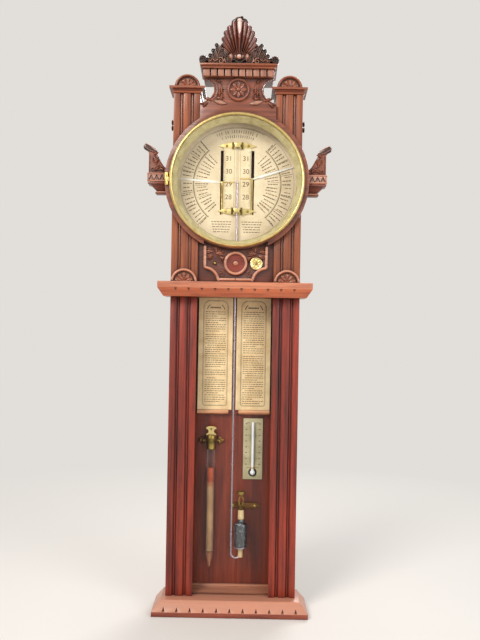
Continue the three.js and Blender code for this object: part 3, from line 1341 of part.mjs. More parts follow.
const bulbZ = THERMO_Z + THERMO_BULB_RISE;
const thermoFront = CASE_BACK + THERMO_T;
const thermoDepth = CASE_BACK + GAP + THERMO_BULB_R;
part('thermometer_plate', cut(
  block(THERMO_X - THERMO_W / 2, THERMO_X + THERMO_W / 2, CASE_BACK, thermoFront, THERMO_Z,
    THERMO_Z + THERMO_H),
  disc(THERMO_HOLE_R, 0, PLINTH_FRONT, THERMO_X, bulbZ),
), 'enamel');
part('thermometer_tube', join(
  new THREE.SphereGeometry(THERMO_BULB_R, FINE_SEGMENTS, SMALL_SEGMENTS)
    .rotateX(Math.PI / 2).translate(THERMO_X, BACK_Y - thermoDepth, bulbZ),
  rod(THERMO_TUBE_R, bulbZ, THERMO_Z + THERMO_H - THERMO_TUBE_TOP, THERMO_X, thermoDepth, SMALL_SEGMENTS),
), 'glass');

// Card boards, each with a bead along its foot, and the printed cards on them

const cardTop = TRUNK_TOP;
const cardBoardFront = CASE_BACK + CARD_BOARD_T;
const beadLeft = CARD_IN + CARD_BOARD_T - GAP;
const cardBead = new THREE.CylinderGeometry(CARD_BEAD_R, CARD_BEAD_R, CARD_OUT - beadLeft, FINE_SEGMENTS)
  .rotateZ(Math.PI / 2)
  .translate((beadLeft + CARD_OUT) / 2, BACK_Y - (cardBoardFront + CARD_BEAD_R / 2), CARD_Z + CARD_BEAD_R);
pair('card_board', join(
  block(CARD_IN, CARD_OUT, CASE_BACK, cardBoardFront, CARD_Z, cardTop),
  cardBead,
), 'back_oak');
pair('card', block(
  CARD_IN + GAP, CARD_OUT - GAP, cardBoardFront + GAP, cardBoardFront + GAP + CARD_T,
    CARD_Z + CARD_MARGIN + GAP,
  cardTop), 'card');

export default barometer;
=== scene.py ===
# FitzRoy type barometer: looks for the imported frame. Lengths are millimetres, which at() turns to metres.
import json
import random
from math import atan2, cos, degrees as to_degrees, hypot, pi, radians, sin, sqrt

import bmesh
import bpy
from mathutils import Matrix, Vector


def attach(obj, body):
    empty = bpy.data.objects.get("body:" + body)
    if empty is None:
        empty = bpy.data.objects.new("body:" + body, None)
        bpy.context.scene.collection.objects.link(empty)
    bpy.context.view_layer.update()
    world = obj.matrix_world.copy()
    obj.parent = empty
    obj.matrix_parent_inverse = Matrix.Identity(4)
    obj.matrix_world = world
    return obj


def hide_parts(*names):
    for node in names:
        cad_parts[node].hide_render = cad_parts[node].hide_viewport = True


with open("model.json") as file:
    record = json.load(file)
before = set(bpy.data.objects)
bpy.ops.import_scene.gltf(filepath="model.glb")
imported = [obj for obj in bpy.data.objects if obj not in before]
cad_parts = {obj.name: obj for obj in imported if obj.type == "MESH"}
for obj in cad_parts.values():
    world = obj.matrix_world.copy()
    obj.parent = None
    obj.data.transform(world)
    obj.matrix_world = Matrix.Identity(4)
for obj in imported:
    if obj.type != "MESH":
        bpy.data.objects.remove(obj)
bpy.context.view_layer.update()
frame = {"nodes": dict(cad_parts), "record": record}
scene = bpy.context.scene
rng = random.Random(1861)

MM = 0.001
BACK_Y = 48.05
DIAL_Z = 831.0
SPINDLE_Z = 671.0
CASE = "case"
SIDES = ((-1, "left"), (1, "right"))


def at(x, depth, z):
    """A point from x, the depth forward of the wall face, and the height."""
    return Vector((x * MM, (BACK_Y - depth) * MM, z * MM))


def polar(x, z, radius, degrees):
    return x + radius * cos(radians(degrees)), z + radius * sin(radians(degrees))


def curve(x, z, radius, start, end, step=6):
    """Points along an arc round x, z, in whole degrees."""
    return [polar(x, z, radius, degrees) for degrees in range(start, end, step)]


def srgb(r, g, b):
    """A linear colour from 0 to 255 display values."""
    def one(v):
        v /= 255
        return v / 12.92 if v <= 0.04045 else ((v + 0.055) / 1.055) ** 2.4
    return (one(r), one(g), one(b), 1.0)


# Materials

class Nodes:
    """The node tree of a material or the world, with short ways to add to it."""

    def __init__(self, name, world=False):
        self.owner = (bpy.data.worlds if world else bpy.data.materials).new(name)
        self.owner.use_nodes = True
        self.tree = self.owner.node_tree
        self.tree.nodes.clear()
        self.out = self.add("OutputWorld" if world else "OutputMaterial")
        self.shader = self.add("Background" if world else "BsdfPrincipled")
        self.link(self.shader.outputs[0], self.out.inputs[0])

    def link(self, a, b):
        self.tree.links.new(a, b)

    def plug(self, socket, value):
        """Links a socket to another, or sets it to a constant."""
        if hasattr(value, "node"):
            self.link(value, socket)
        else:
            socket.default_value = value

    def fill(self, node, values):
        """Sets a node's properties and sockets by name."""
        for key, value in values.items():
            if hasattr(node, key):
                setattr(node, key, value)
            else:
                self.plug(node.inputs[key.replace("_", " ")], value)

    def add(self, kind, **values):
        node = self.tree.nodes.new("ShaderNode" + kind)
        self.fill(node, values)
        return node

    def set(self, **values):
        self.fill(self.shader, values)

    def noise(self, stretch, detail=3.0, rough=0.55, twist=0.0):
        """Noise whose grain is stretch millimetres on each axis."""
        sizes = stretch if hasattr(stretch, "__len__") else (stretch,) * 3
        place = self.add("Mapping", Scale=[1000 / s for s in sizes],
                         Vector=self.add("TexCoord").outputs["Object"])
        return self.add("TexNoise", Scale=1.0, Detail=detail, Roughness=rough, Distortion=twist,
                        Vector=place.outputs[0]).outputs[0]

    def ramp(self, factor, *stops):
        node = self.add("ValToRGB")
        elements = node.color_ramp.elements
        while len(elements) < len(stops):
            elements.new(0.5)
        for element, (place, colour) in zip(elements, stops):
            element.position = place
            element.color = colour
        self.link(factor, node.inputs[0])
        return node.outputs[0]

    def grey(self, factor, low, high, start=0.3, end=0.7):
        return self.add("MapRange", Value=factor, From_Min=start, From_Max=end, To_Min=low,
                        To_Max=high).outputs[0]

    def mix(self, factor, a, b, blend="MIX"):
        node = self.add("Mix", data_type="RGBA", blend_type=blend)
        for index, value in ((0, factor), (6, a), (7, b)):
            self.plug(node.inputs[index], value)
        return node.outputs[2]

    def mix_shaders(self, factor, first, second):
        """Sends a mix of two shaders to the output."""
        mixer = self.add("MixShader")
        for socket, value in zip(mixer.inputs, (factor, first.outputs[0], second.outputs[0])):
            self.link(value, socket)
        self.link(mixer.outputs[0], self.out.inputs[0])

    def larger(self, a, b):
        node = self.add("Math", operation="MAXIMUM")
        self.link(a, node.inputs[0])
        self.link(b, node.inputs[1])
        return node.outputs[0]

    def crevice(self, distance, low=0.25, high=0.95):
        """0 in a hollow and 1 in the open."""
        node = self.add("AmbientOcclusion", samples=4, Distance=distance * MM)
        return self.grey(node.outputs["AO"], 0.0, 1.0, low, high)

    def tilt(self, start, end):
        """0 until a face's upward tilt passes start, and 1 from end on."""
        split = self.add("SeparateXYZ", Vector=self.add("NewGeometry").outputs["True Normal"])
        return self.grey(split.outputs["Z"], 0.0, 1.0, start, end)

    def bump(self, height, strength, distance=0.0002):
        self.set(Normal=self.add("Bump", Strength=strength, Distance=distance, Height=height).outputs[0])


# Painted shade: a darker, more orange multiply for wood faces that look downwards.
UNDERSIDE_PAINTED_SHADE = (0.92, 0.62, 0.42, 1.0)
# Painted light: the pale tone that wood faces looking upwards are mixed towards.
TOP_PAINTED_LIGHT = srgb(226, 166, 136)


def wood(name, light, middle, dark, along="Z", hollow=0.45, gloss=0.32, coat=0.18, painted_lighting=0.3):
    """Stained oak: broad figure and fine pores along the grain, with painted shade in the hollows and under
    downward faces, and painted light on upward faces.
    """
    n = Nodes(name)
    light, middle, dark = srgb(*light), srgb(*middle), srgb(*dark)

    def grained(size, longer):
        return [size * longer if axis == along else size for axis in "XYZ"]

    figure = n.noise(grained(34, 9), 3.0, 0.5, 0.6)
    fibres = n.noise(grained(7, 26), 5.0, 0.65, 0.2)
    pores = n.noise(grained(0.9, 34), 2.0, 0.5)
    base = n.ramp(figure, (0.28, dark), (0.5, middle), (0.74, light))
    colour = n.mix(0.55, base, n.ramp(fibres, (0.34, dark), (0.62, light)))
    colour = n.mix(n.grey(pores, 0.0, 1.0, 0.3, 0.42), n.mix(0.65, colour, dark), colour)
    # Painted shade: the hollows, found by ambient occlusion, darken towards a deep copy of the dark grain
    # colour.
    shadow = [c * (1 - hollow) * 0.7 for c in dark[:3]] + [1.0]
    colour = n.mix(n.crevice(9), n.mix(hollow, colour, shadow), colour)
    # Painted shade: faces that look downwards are multiplied by the underside colour.
    colour = n.mix(n.tilt(-0.2, -0.5), colour, n.mix(1.0, colour, UNDERSIDE_PAINTED_SHADE, "MULTIPLY"))
    # Painted light: faces that look upwards are paler, mixed towards the pale top colour.
    colour = n.mix(n.tilt(0.2, 0.55), colour, n.mix(painted_lighting, colour, TOP_PAINTED_LIGHT))
    n.set(Base_Color=colour, Roughness=n.grey(fibres, gloss + 0.12, gloss - 0.02), Coat_Weight=coat,
          Coat_Roughness=0.2)
    n.bump(n.mix(0.5, fibres, pores), 0.35, 0.0003)
    return n.owner


def metal(name, bright, dull, rough=0.24, painted_lighting=0.5, metallic=1.0):
    n = Nodes(name)
    bright, dull = srgb(*bright), srgb(*dull)
    cloud = n.noise(16, 4.0, 0.6, 0.4)
    tone = n.ramp(cloud, (0.32, dull), (0.62, bright))
    # Painted shade: the hollows, found by ambient occlusion, darken towards a deep copy of the dull colour.
    tone = n.mix(n.crevice(3), n.mix(painted_lighting, tone, [c * 0.35 for c in dull[:3]] + [1.0]), tone)
    n.set(Base_Color=tone, Metallic=metallic, Roughness=n.grey(cloud, rough + 0.14, rough))
    n.bump(n.noise(1.6, 2.0, 0.5), 0.12)
    return n.owner


def plain(name, light, dark, grain=5.0, rough=0.7, bump=0.1):
    """Paper, card, enamel and other calm surfaces."""
    n = Nodes(name)
    light, dark = srgb(*light), srgb(*dark)
    fine = n.noise(grain * 0.3, 3.0, 0.6)
    tone = n.ramp(n.noise(26, 4.0, 0.6, 0.3), (0.3, dark), (0.66, light))
    tone = n.mix(n.grey(fine, 0.0, 0.16, 0.35, 0.75), tone, dark)
    n.set(Base_Color=tone, Roughness=n.grey(fine, rough - 0.05, rough + 0.08))
    n.bump(fine, bump)
    return n.owner


def clear(name, tint, gloss, haze):
    """Glass that lets the light through and keeps a faint sheen at its edges."""
    n = Nodes(name)
    cloud = n.noise(40, 2.0, 0.5)
    n.set(Base_Color=n.ramp(cloud, (0.3, srgb(214, 224, 222)), (0.7, srgb(232, 238, 236))),
          Roughness=n.grey(cloud, 0.04, 0.1), Specular_IOR_Level=0.6)
    rim = n.add("LayerWeight", Blend=0.18).outputs["Facing"]
    n.mix_shaders(n.grey(rim, haze, gloss + haze, 0.0, 1.0), n.add("BsdfTransparent", Color=tint), n.shader)
    return n.owner


def sparkling(name, light, dark):
    """Dark glass with a hammered face whose bumps catch the light, and small bright points painted into its
    colour as glints.
    """
    n = Nodes(name)
    cloud = n.noise(12, 3.0, 0.6)
    # Painted glints: small pale points mixed into the base colour.
    painted_glints = n.grey(n.noise((1.9, 1.9, 3.0), 2.0, 0.6), 0.0, 0.8, 0.6, 0.7)
    tone = n.mix(painted_glints, n.ramp(cloud, (0.3, srgb(*dark)), (0.7, srgb(*light))), srgb(176, 184, 190))
    n.set(Base_Color=tone, Roughness=n.grey(cloud, 0.05, 0.16), Specular_IOR_Level=0.9, Coat_Weight=1.0)
    n.bump(n.noise(2.6, 2.0, 0.5, 0.4), 0.9, 0.0012)
    return n.owner


OAK = ((170, 96, 57), (136, 68, 38), (78, 33, 18))
oak_up = wood("oak_upright", *OAK)
oak_level = wood("oak_level", *OAK, "X")
trunk_up = wood("trunk_oak_upright", (160, 54, 27), (114, 32, 18), (46, 13, 9), "Z", 0.5, 0.4, 0.08)
back_wood = wood("back_oak", (144, 56, 27), (114, 39, 20), (68, 22, 14), "Z", 0.5, 0.42, 0.05)
carved = wood("carved_oak", (156, 88, 62), (122, 62, 42), (66, 29, 20), "X", 0.75, 0.34, 0.2)
# Painted shade: a darker copy of the carved oak for the beds of recesses under raised carving.
carved_shade = wood("carved_oak_shade", (104, 52, 38), (74, 34, 24), (38, 17, 13), "Z", 0.8, 0.36, 0.2)
apron_wood = wood("apron_oak", (118, 60, 42), (88, 42, 29), (52, 24, 18), "X", 0.7, 0.36, 0.2)
dentil_wood = wood("dentil_oak", (178, 126, 102), (152, 98, 76), (104, 58, 44), "Z", 0.6)
# The plinth and shelf take a stronger pale tone on their upward faces: painted light.
plinth_wood = wood("plinth_oak", (168, 84, 56), (138, 60, 40), (84, 32, 22), "X", 0.45, painted_lighting=0.52)
shelf_wood = wood("shelf_oak", (208, 134, 98), (180, 102, 71), (116, 57, 37), "X", 0.4, painted_lighting=0.4)
dish_wood = wood("dish_oak", (152, 62, 42), (120, 42, 28), (66, 22, 15), "X", 0.7)
# Painted highlight: pale oak for the round rail under each card.
rail_wood = wood("rail_oak", (240, 190, 142), (214, 148, 102), (150, 82, 50), "X", 0.5)
shell_wood = wood("shell_oak", (130, 64, 43), (94, 41, 28), (48, 20, 14), "Z", 0.75, 0.3, 0.35)
rib_wood = wood("rib_oak", (158, 98, 74), (116, 64, 46), (62, 30, 22), "Z", 0.6, 0.32, 0.3)
night_wood = wood("night_oak", (66, 34, 28), (46, 24, 20), (26, 15, 13), "Z", 0.8, 0.32, 0.35)
# Painted highlight: pale oak for raised rims, edges and borders.
rim_wood = wood("highlight_oak_rim", (216, 160, 132), (190, 126, 98), (136, 78, 58), "X", 0.5)
# Painted highlight: pale oak for raised veins, curls, bulbs and eye leaves.
highlight_wood = wood("highlight_oak", (196, 152, 130), (158, 108, 88), (96, 56, 44), "Z", 0.6, 0.34, 0.3)
# Painted highlight: pale oak for the front of the wing ledge band.
band_wood = wood("highlight_band_oak", (206, 162, 142), (180, 128, 108), (128, 80, 64), "X", 0.12)
# Painted highlight: the palest oak, for the crown of the shell and the crest bead.
pale_wood = wood("pale_oak", (232, 206, 196), (204, 166, 152), (146, 96, 82), "Z", 0.5, 0.34, 0.3)
brass = metal("brass", (236, 205, 122), (190, 150, 72))
old_brass = metal("old_brass", (206, 176, 98), (132, 104, 52), 0.34, 0.6)
bright_brass = metal("polished_brass", (244, 222, 156), (212, 186, 116), 0.26, 0.35)
olive_brass = metal("olive_brass", (176, 150, 80), (110, 90, 44), 0.34, 0.7)
dark_brass = metal("shaded_brass", (122, 100, 46), (74, 58, 26), 0.34, 0.7)
bronze = metal("dull_bronze", (134, 96, 54), (86, 54, 32), 0.42, 0.6)
gilt = metal("gilt", (222, 212, 166), (190, 178, 128), 0.4, 0.35, 0.35)
mercury = metal("mercury", (206, 192, 204), (184, 168, 180), 0.22, 0.0)
paper = plain("dial_paper", (234, 216, 184), (212, 192, 156))
scale_card = plain("scale_card", (236, 218, 182), (218, 196, 154))
card = plain("printed_card", (246, 218, 170), (218, 184, 134))
enamel = plain("white_enamel", (246, 244, 236), (224, 220, 208), 3.0, 0.35, 0.05)
ivory = plain("thermometer_ivory", (196, 184, 146), (162, 152, 116), 4.0, 0.45)
opal = plain("opal_glass", (250, 250, 250), (226, 230, 234), 2.0, 0.12, 0.02)
cork = plain("cork", (226, 206, 160), (184, 152, 104), 6.0, 0.8, 0.4)
sediment = plain("storm_crystals", (184, 146, 104), (152, 114, 78), 7.0, 0.4, 0.3)
spirit = plain("storm_spirit", (184, 84, 48), (150, 62, 34), 7.0, 0.25, 0.1)
haze = plain("storm_haze", (176, 112, 72), (140, 82, 50), 7.0, 0.3, 0.2)
shade = plain("shaded_well", (52, 46, 38), (28, 25, 22), 4.0, 0.5)
ink = plain("print_ink", (62, 48, 40), (44, 34, 30), 3.0, 0.75)
faint_ink = plain("print_ink_faint", (122, 104, 82), (94, 78, 62), 3.0, 0.75)
card_ink = plain("card_ink", (112, 84, 58), (88, 62, 42), 3.0, 0.75)
print_brown = plain("print_brown", (132, 108, 78), (100, 80, 56), 3.0, 0.75)
rule_ink = plain("rule_ink", (128, 112, 80), (100, 86, 60), 3.0, 0.75)
pane = clear("pane_glass", (0.985, 0.99, 0.988, 1.0), 0.06, 0.004)
tube_glass = clear("tube_glass", (0.97, 0.96, 0.95, 1.0), 0.35, 0.008)
bottle_glass = sparkling("bottle_glass", (42, 46, 52), (12, 14, 17))

# Camera, light and floor

PALE = srgb(226, 222, 217)
CAMERA_AT = (18.85, -1450.0, 553.4)
CAMERA_YAW, CAMERA_PITCH, CAMERA_ROLL = 0.00586, 0.00587, 0.01707
FOCAL_PIXELS, FRAME_HEIGHT, SENSOR = 743.7, 640, 36.0
FLOOR_REACH = 30
FLOOR_DROP = 0.0006


def add_camera():
    forward = Vector((-sin(CAMERA_YAW) * cos(CAMERA_PITCH), cos(CAMERA_YAW) * cos(CAMERA_PITCH),
                      sin(CAMERA_PITCH)))
    level = Vector((cos(CAMERA_YAW), sin(CAMERA_YAW), 0))
    lift = level.cross(forward)
    right = level * cos(CAMERA_ROLL) + lift * sin(CAMERA_ROLL)
    up = lift * cos(CAMERA_ROLL) - level * sin(CAMERA_ROLL)
    turn = Matrix((right, up, -forward)).transposed().to_4x4()
    data = bpy.data.cameras.new("camera")
    data.sensor_fit = "VERTICAL"
    data.sensor_height = SENSOR
    data.lens = FOCAL_PIXELS * SENSOR / FRAME_HEIGHT
    data.clip_end = 60
    camera = bpy.data.objects.new("camera", data)
    camera.matrix_world = Matrix.Translation(Vector(CAMERA_AT) * MM) @ turn
    scene.collection.objects.link(camera)
    scene.camera = camera


def add_area(name, place, target, size, watts, colour=(1, 1, 1)):
    data = bpy.data.lights.new(name, "AREA")
    data.shape = "DISK"
    data.size = size
    data.energy = watts
    data.color = colour
    lamp = bpy.data.objects.new(name, data)
    lamp.location = place
    lamp.rotation_euler = (Vector(target) - Vector(place)).to_track_quat("-Z", "Y").to_euler()
    scene.collection.objects.link(lamp)


def add_world():
    """A soft even light, and a pale background where the camera, metal or glass sees it."""
    n = Nodes("world", world=True)
    scene.world = n.owner
    n.set(Color=(1.0, 0.985, 0.965, 1.0), Strength=0.5)
    path = n.add("LightPath").outputs
    seen = n.larger(n.larger(path["Is Camera Ray"], path["Is Glossy Ray"]), path["Is Transmission Ray"])
    n.mix_shaders(seen, n.shader, n.add("Background", Color=PALE))


def add_floor():
    """A pale floor that keeps the shadow near the case and runs out into the background."""
    n = Nodes("floor")
    n.set(Roughness=0.9, Base_Color=PALE, Specular_IOR_Level=0.1)
    ring = n.add("VectorMath", operation="LENGTH")
    n.link(n.add("TexCoord").outputs["Object"], ring.inputs[0])
    n.mix_shaders(n.grey(ring.outputs["Value"], 0.0, 1.0, 0.35, 1.5), n.shader, n.add("Emission", Color=PALE))
    mesh = bpy.data.meshes.new("floor")
    corners = ((-1, -1), (1, -1), (1, 1), (-1, 1))
    mesh.from_pydata([(x * FLOOR_REACH, y * FLOOR_REACH, 0) for x, y in corners], [], [(0, 1, 2, 3)])
    mesh.materials.append(n.owner)
    floor = bpy.data.objects.new("floor", mesh)
    floor.location.z = -FLOOR_DROP
    scene.collection.objects.link(floor)


add_camera()
add_world()
add_floor()
add_area("key", (-1.5, -2.3, 2.3), (0, 0, 0.6), 1.4, 78, (1.0, 0.97, 0.93))
add_area("fill", (1.9, -2.0, 1.2), (0, 0, 0.55), 1.6, 34, (0.95, 0.97, 1.0))
add_area("back", (0.8, 2.2, 1.9), (0, 0, 0.7), 1.4, 40)
scene.view_settings.view_transform = "Standard"


# Shapes

def flip(line, side):
    return [(x * side, z) for x, z in line]


def box_section(inner, outer, low, high):
    return [(inner, low), (outer, low), (outer, high), (inner, high)]


class Shape:
    """Closed surfaces collected for one piece, in x, depth and height."""

    def __init__(self):
        self.points = []
        self.faces = []

    def _add(self, points, faces):
        base = len(self.points)
        self.points.extend(at(*p) for p in points)
        self.faces.extend(tuple(base + i for i in face) for face in faces)
        return self

    def rings(self, rings, closed=False):
        """A skin over rings that hold the same number of points, capped unless it closes on itself."""
        count = len(rings[0])
        faces = []
        for i in range(len(rings) if closed else len(rings) - 1):
            low, high = i * count, (i + 1) % len(rings) * count
            for j in range(count):
                k = (j + 1) % count
                faces.append((low + j, low + k, high + k, high + j))
        if not closed:
            last = (len(rings) - 1) * count
            faces += [tuple(reversed(range(count))), tuple(last + j for j in range(count))]
        return self._add([p for ring in rings for p in ring], faces)

    def facing(self, profile, x, z, segments=96, start=0.0, sweep=360.0):
        """Turned about an axis that points forward, from a closed profile of radius and depth."""
        whole = sweep >= 360
        rings = []
        for i in range(segments if whole else segments + 1):
            turns = [(polar(x, z, r, start + sweep * i / segments), d) for r, d in profile]
            rings.append([(px, d, pz) for (px, pz), d in turns])
        return self.rings(rings, closed=whole)

    def turned(self, profile, x, depth, segments=48):
        """Turned about an upright axis; the profile holds radius and height, from the axis back to it."""
        rings = []
        for i in range(segments):
            angle = 2 * pi * i / segments
            rings.append([(x + r * cos(angle), depth + r * sin(angle), z) for r, z in profile])
        return self.rings(rings, closed=True)

    def block(self, left, right, back, front, low, high):
        points = [(x, d, z) for z in (low, high) for d in (back, front) for x in (left, right)]
        return self._add(points, [(0, 1, 3, 2), (4, 6, 7, 5), (0, 4, 5, 1), (2, 3, 7, 6), (0, 2, 6, 4),
                                  (1, 5, 7, 3)])

    def plate(self, outline, back, front):
        """A flat plate with its outline in x and z."""
        return self.rings([[(x, d, z) for x, z in outline] for d in (back, front)])

    def relief(self, line, widths, base, rise, sides=10, ridge=0.0):
        """A carved stroke that runs along a line in a face: widths along it, rise above the base depth.
        ridge pinches its back into an edge, or a groove when negative."""
        rings = []
        count = len(line)
        for i, (x, z) in enumerate(line):
            before, after = line[max(i - 1, 0)], line[min(i + 1, count - 1)]
            dx, dz = after[0] - before[0], after[1] - before[1]
            length = hypot(dx, dz) or 1.0
            nx, nz = -dz / length, dx / length
            width = max(widths(i / (count - 1)), 0.02)
            high = rise * min(1.0, width / max(widths(0.5), 0.1)) ** 0.55
            ring = []
            for j in range(sides):
                across, up = cos(2 * pi * j / sides), sin(2 * pi * j / sides)
                height = high * (up if up > 0 else up * 0.3) * (1 + ridge if up > 0.9 else 1)
                ring.append((x + nx * width / 2 * across, base + height, z + nz * width / 2 * across))
            rings.append(ring)
        return self.rings(rings)

    def both(self, line, *stroke):
        """The same carved stroke on either side of the middle."""
        for side in (-1, 1):
            self.relief(flip(line, side), *stroke)

    def pipe(self, line, depth, radius, sides=18):
        """A round tube whose middle runs along a line in x and z; radius is a size or a function."""
        rings = []
        for i, (x, z) in enumerate(line):
            before, after = line[max(i - 1, 0)], line[min(i + 1, len(line) - 1)]
            dx, dz = after[0] - before[0], after[1] - before[1]
            length = hypot(dx, dz)
            r = radius(i / (len(line) - 1)) if callable(radius) else radius
            rings.append([(x - dz / length * r * cos(a), depth + r * sin(a), z + dx / length * r * cos(a))
                          for a in (2 * pi * j / sides for j in range(sides))])
        return self.rings(rings)

    def ball(self, x, depth, z, radius, squash=1.0, segments=14):
        rings = []
        steps = segments // 2
        for i in range(1, steps):
            lift = pi * i / steps
            turns = [polar(x, z, radius * sin(lift), 360 * j / segments) for j in range(segments)]
            rings.append([(px, depth - radius * squash * cos(lift), pz) for px, pz in turns])
        return self.rings(rings)

    def piece(self, name, material, slot="carved_oak", smooth=50, bevel=0.0, replaces=(), body=CASE):
        mesh = bpy.data.meshes.new(name)
        mesh.from_pydata(self.points, [], self.faces)
        dress(name, mesh, material, smooth, bevel, replaces, body)


FLAT_DEGREES, SHARP_DEGREES = 0.9, 28


def dress(name, mesh, material, smooth, bevel, replaces, body):
    """Cleans a mesh, eases and shades its edges, and makes it a piece on its body."""
    work = bmesh.new()
    work.from_mesh(mesh)
    bmesh.ops.remove_doubles(work, verts=work.verts, dist=2e-7)
    bmesh.ops.recalc_face_normals(work, faces=work.faces)
    if bevel:
        bmesh.ops.dissolve_limit(work, angle_limit=radians(FLAT_DEGREES), verts=work.verts, edges=work.edges)
        sharp = [e for e in work.edges
                 if len(e.link_faces) == 2 and e.calc_face_angle(0) > radians(SHARP_DEGREES)]
        bmesh.ops.bevel(work, geom=sharp, offset=bevel * MM, segments=2, affect="EDGES", profile=0.6,
                        clamp_overlap=True)
    for face in work.faces:
        face.smooth = True
    for edge in work.edges:
        edge.smooth = len(edge.link_faces) == 2 and edge.calc_face_angle(0) < radians(smooth)
    work.to_mesh(mesh)
    work.free()
    add_piece(name, mesh, material, body, replaces)


def add_piece(name, mesh, material, body=CASE, replaces=()):
    mesh.materials.clear()
    mesh.materials.append(material)
    piece = bpy.data.objects.new(name, mesh)
    scene.collection.objects.link(piece)
    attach(piece, body)
    if replaces:
        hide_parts(*replaces)


BODY_OF = {node: body for body, members in frame["record"]["behaviour"]["bodies"].items() for node in members}


def finish(names, material, bevel=0.45, smooth=34):
    """The named CAD nodes' own shapes, welded, eased and shaded. A star stands for left and right."""
    for name in names.split():
        for node in ([name.replace("*", tag) for _, tag in SIDES] if "*" in name else [name]):
            source = frame["nodes"][node].data
            mesh = bpy.data.meshes.new(node + "_finish")
            mesh.from_pydata([v.co.copy() for v in source.vertices], [],
                             [tuple(p.vertices) for p in source.polygons])
            work = bmesh.new()
            work.from_mesh(mesh)
            bmesh.ops.remove_doubles(work, verts=work.verts, dist=1e-6)
            work.to_mesh(mesh)
            work.free()
            dress(node + "_finish", mesh, material, smooth, bevel, (node,), BODY_OF[node])


# Case panels
finish("trunk_side_*", trunk_up)
finish("trunk_pilaster_*", trunk_up, 0.7)
finish("lower_post_* upper_post_*", oak_up, 0.7)
finish("cornice head_top_board", oak_level, 0.8)
finish("plinth", plinth_wood, 0.8)
finish("shelf", shelf_wood, 0.8)
finish("dentil_band", dentil_wood, 0.6)
finish("dial_drum", oak_level, 0.5)
finish("backboard", back_wood, 0.6)
finish("trunk_floor", oak_level, 0.3)
finish("dial_board spindle_batten card_board_*", back_wood, 0.4)
finish("post_cap_* foot_lunette_*", oak_level, 0.0, 30)
finish("wing_* dial_surround", carved, 0.5)
finish("apron_panel", apron_wood, 0.35)
finish("trunk_glass", pane, 0.3)

# Dial head in turned brass and glass
FINE = 144
HINGE_X = -134.5
HINGE_LOW, HINGE_HIGH = DIAL_Z - 4, DIAL_Z + 4
PANE_BACK, PANE_FRONT = 70.2, 72.4
BEZEL_SECTION = [
    (127.9, 68.7), (131, 68.7), (131, 71.4), (130.8, 73.6), (130.3, 75.5), (129.5, 77.2), (128.4, 78.7),
    (127.2, 79.6), (126.0, 80.0), (125.2, 79.6), (124.7, 78.7), (124.5, 77.2), (124.5, 72.8), (127.9, 72.8),
]
SIGHT_SECTION = [
    (115.5, 50.5), (128.5, 50.5), (128.5, 60.1), (125.9, 60.1), (125.9, 67), (124.6, 67), (124.0, 66.2),
    (116.9, 52.6), (116.3, 52.9), (115.7, 52.4), (115.5, 51.6),
]
ring = Shape().facing(BEZEL_SECTION, 0, DIAL_Z, FINE)
ring.turned(box_section(0, 2.3, HINGE_LOW, HINGE_HIGH), HINGE_X, 71, 20)
ring.block(HINGE_X, -128.4, 70.1, 71.9, HINGE_LOW, HINGE_HIGH)
ring.piece("bezel_ring", bright_brass, "brass", 40, replaces=("bezel",), body="bezel_door")
Shape().facing(box_section(0, 127.5, PANE_BACK, PANE_FRONT), 0, DIAL_Z, FINE).piece(
    "bezel_pane", pane, "glass", 38, replaces=("bezel_glass",), body="bezel_door")
finish("bezel_hinge", brass, 0.2)
Shape().facing(SIGHT_SECTION, 0, DIAL_Z, FINE).piece(
    "sight_ring_turned", gilt, "gilt", 40, replaces=("sight_ring",))

PAPER_FRONT = 27.1
finish("dial_paper", paper, 0.0)
finish("scale_plate", scale_card, 0.12)
finish("tube_clip_top tube_clip_bottom", bright_brass, 0.25)
finish("hand_arbor", brass, 0.15)
finish("hand_*", enamel, 0.12)
finish("rack_*", brass, 0.1)
finish("spindle_*", old_brass, 0.12)

# Print on the dial
PRINT_T = 0.12


class Print(Shape):
    """Thin ink marks laid on a face."""

    def __init__(self, face):
        super().__init__()
        self.face = face

    def mark(self, x, z, length, width, degrees=0):
        """A short bar whose middle is at x, z and which runs at that angle."""
        c, s = cos(radians(degrees)), sin(radians(degrees))
        corners = box_section(-length / 2, length / 2, -width / 2, width / 2)
        self.plate([(x + a * c - b * s, z + a * s + b * c) for a, b in corners], self.face,
                   self.face + PRINT_T)

    def arc(self, radius, width, start, sweep, x=0.0, z=DIAL_Z, steps=96):
        section = box_section(radius - width / 2, radius + width / 2, self.face, self.face + PRINT_T)
        self.facing(section, x, z, steps, start, sweep)

    def spoke(self, radius, length, width, degrees):
        self.mark(*polar(0, DIAL_Z, radius, degrees), length, width, degrees)

    def row(self, x, length, width, z):
        self.mark(x, z, length, width)

    def words(self, put, where, start, end, width, lengths, gap):
        """Word-long marks from start to end, each put along a spoke or a row."""
        run = start
        while run < end - lengths[0] * 0.6:
            length = min(rng.uniform(*lengths), end - run)
            put(run + length / 2, length, width, where)
            run += length + gap


dial = Print(PAPER_FRONT)
dial.arc(112.6, 0.5, 0, 360)
dial.arc(111.0, 0.7, 62, 56)
for middle in (0, 180):
    dial.arc(86.8, 1.7, middle - 50, 100)
    dial.arc(84.8, 0.35, middle - 50, 100)
    for k in (-49, -33, -14, 11, 27, 47):
        dial.spoke(99.9, 23, 0.95, middle + k)
    for k in (-40, -22, 3, 20, 39):
        dial.spoke(71, 25, 0.7, middle + k)
dial.piece("dial_rules", rule_ink, "paper")

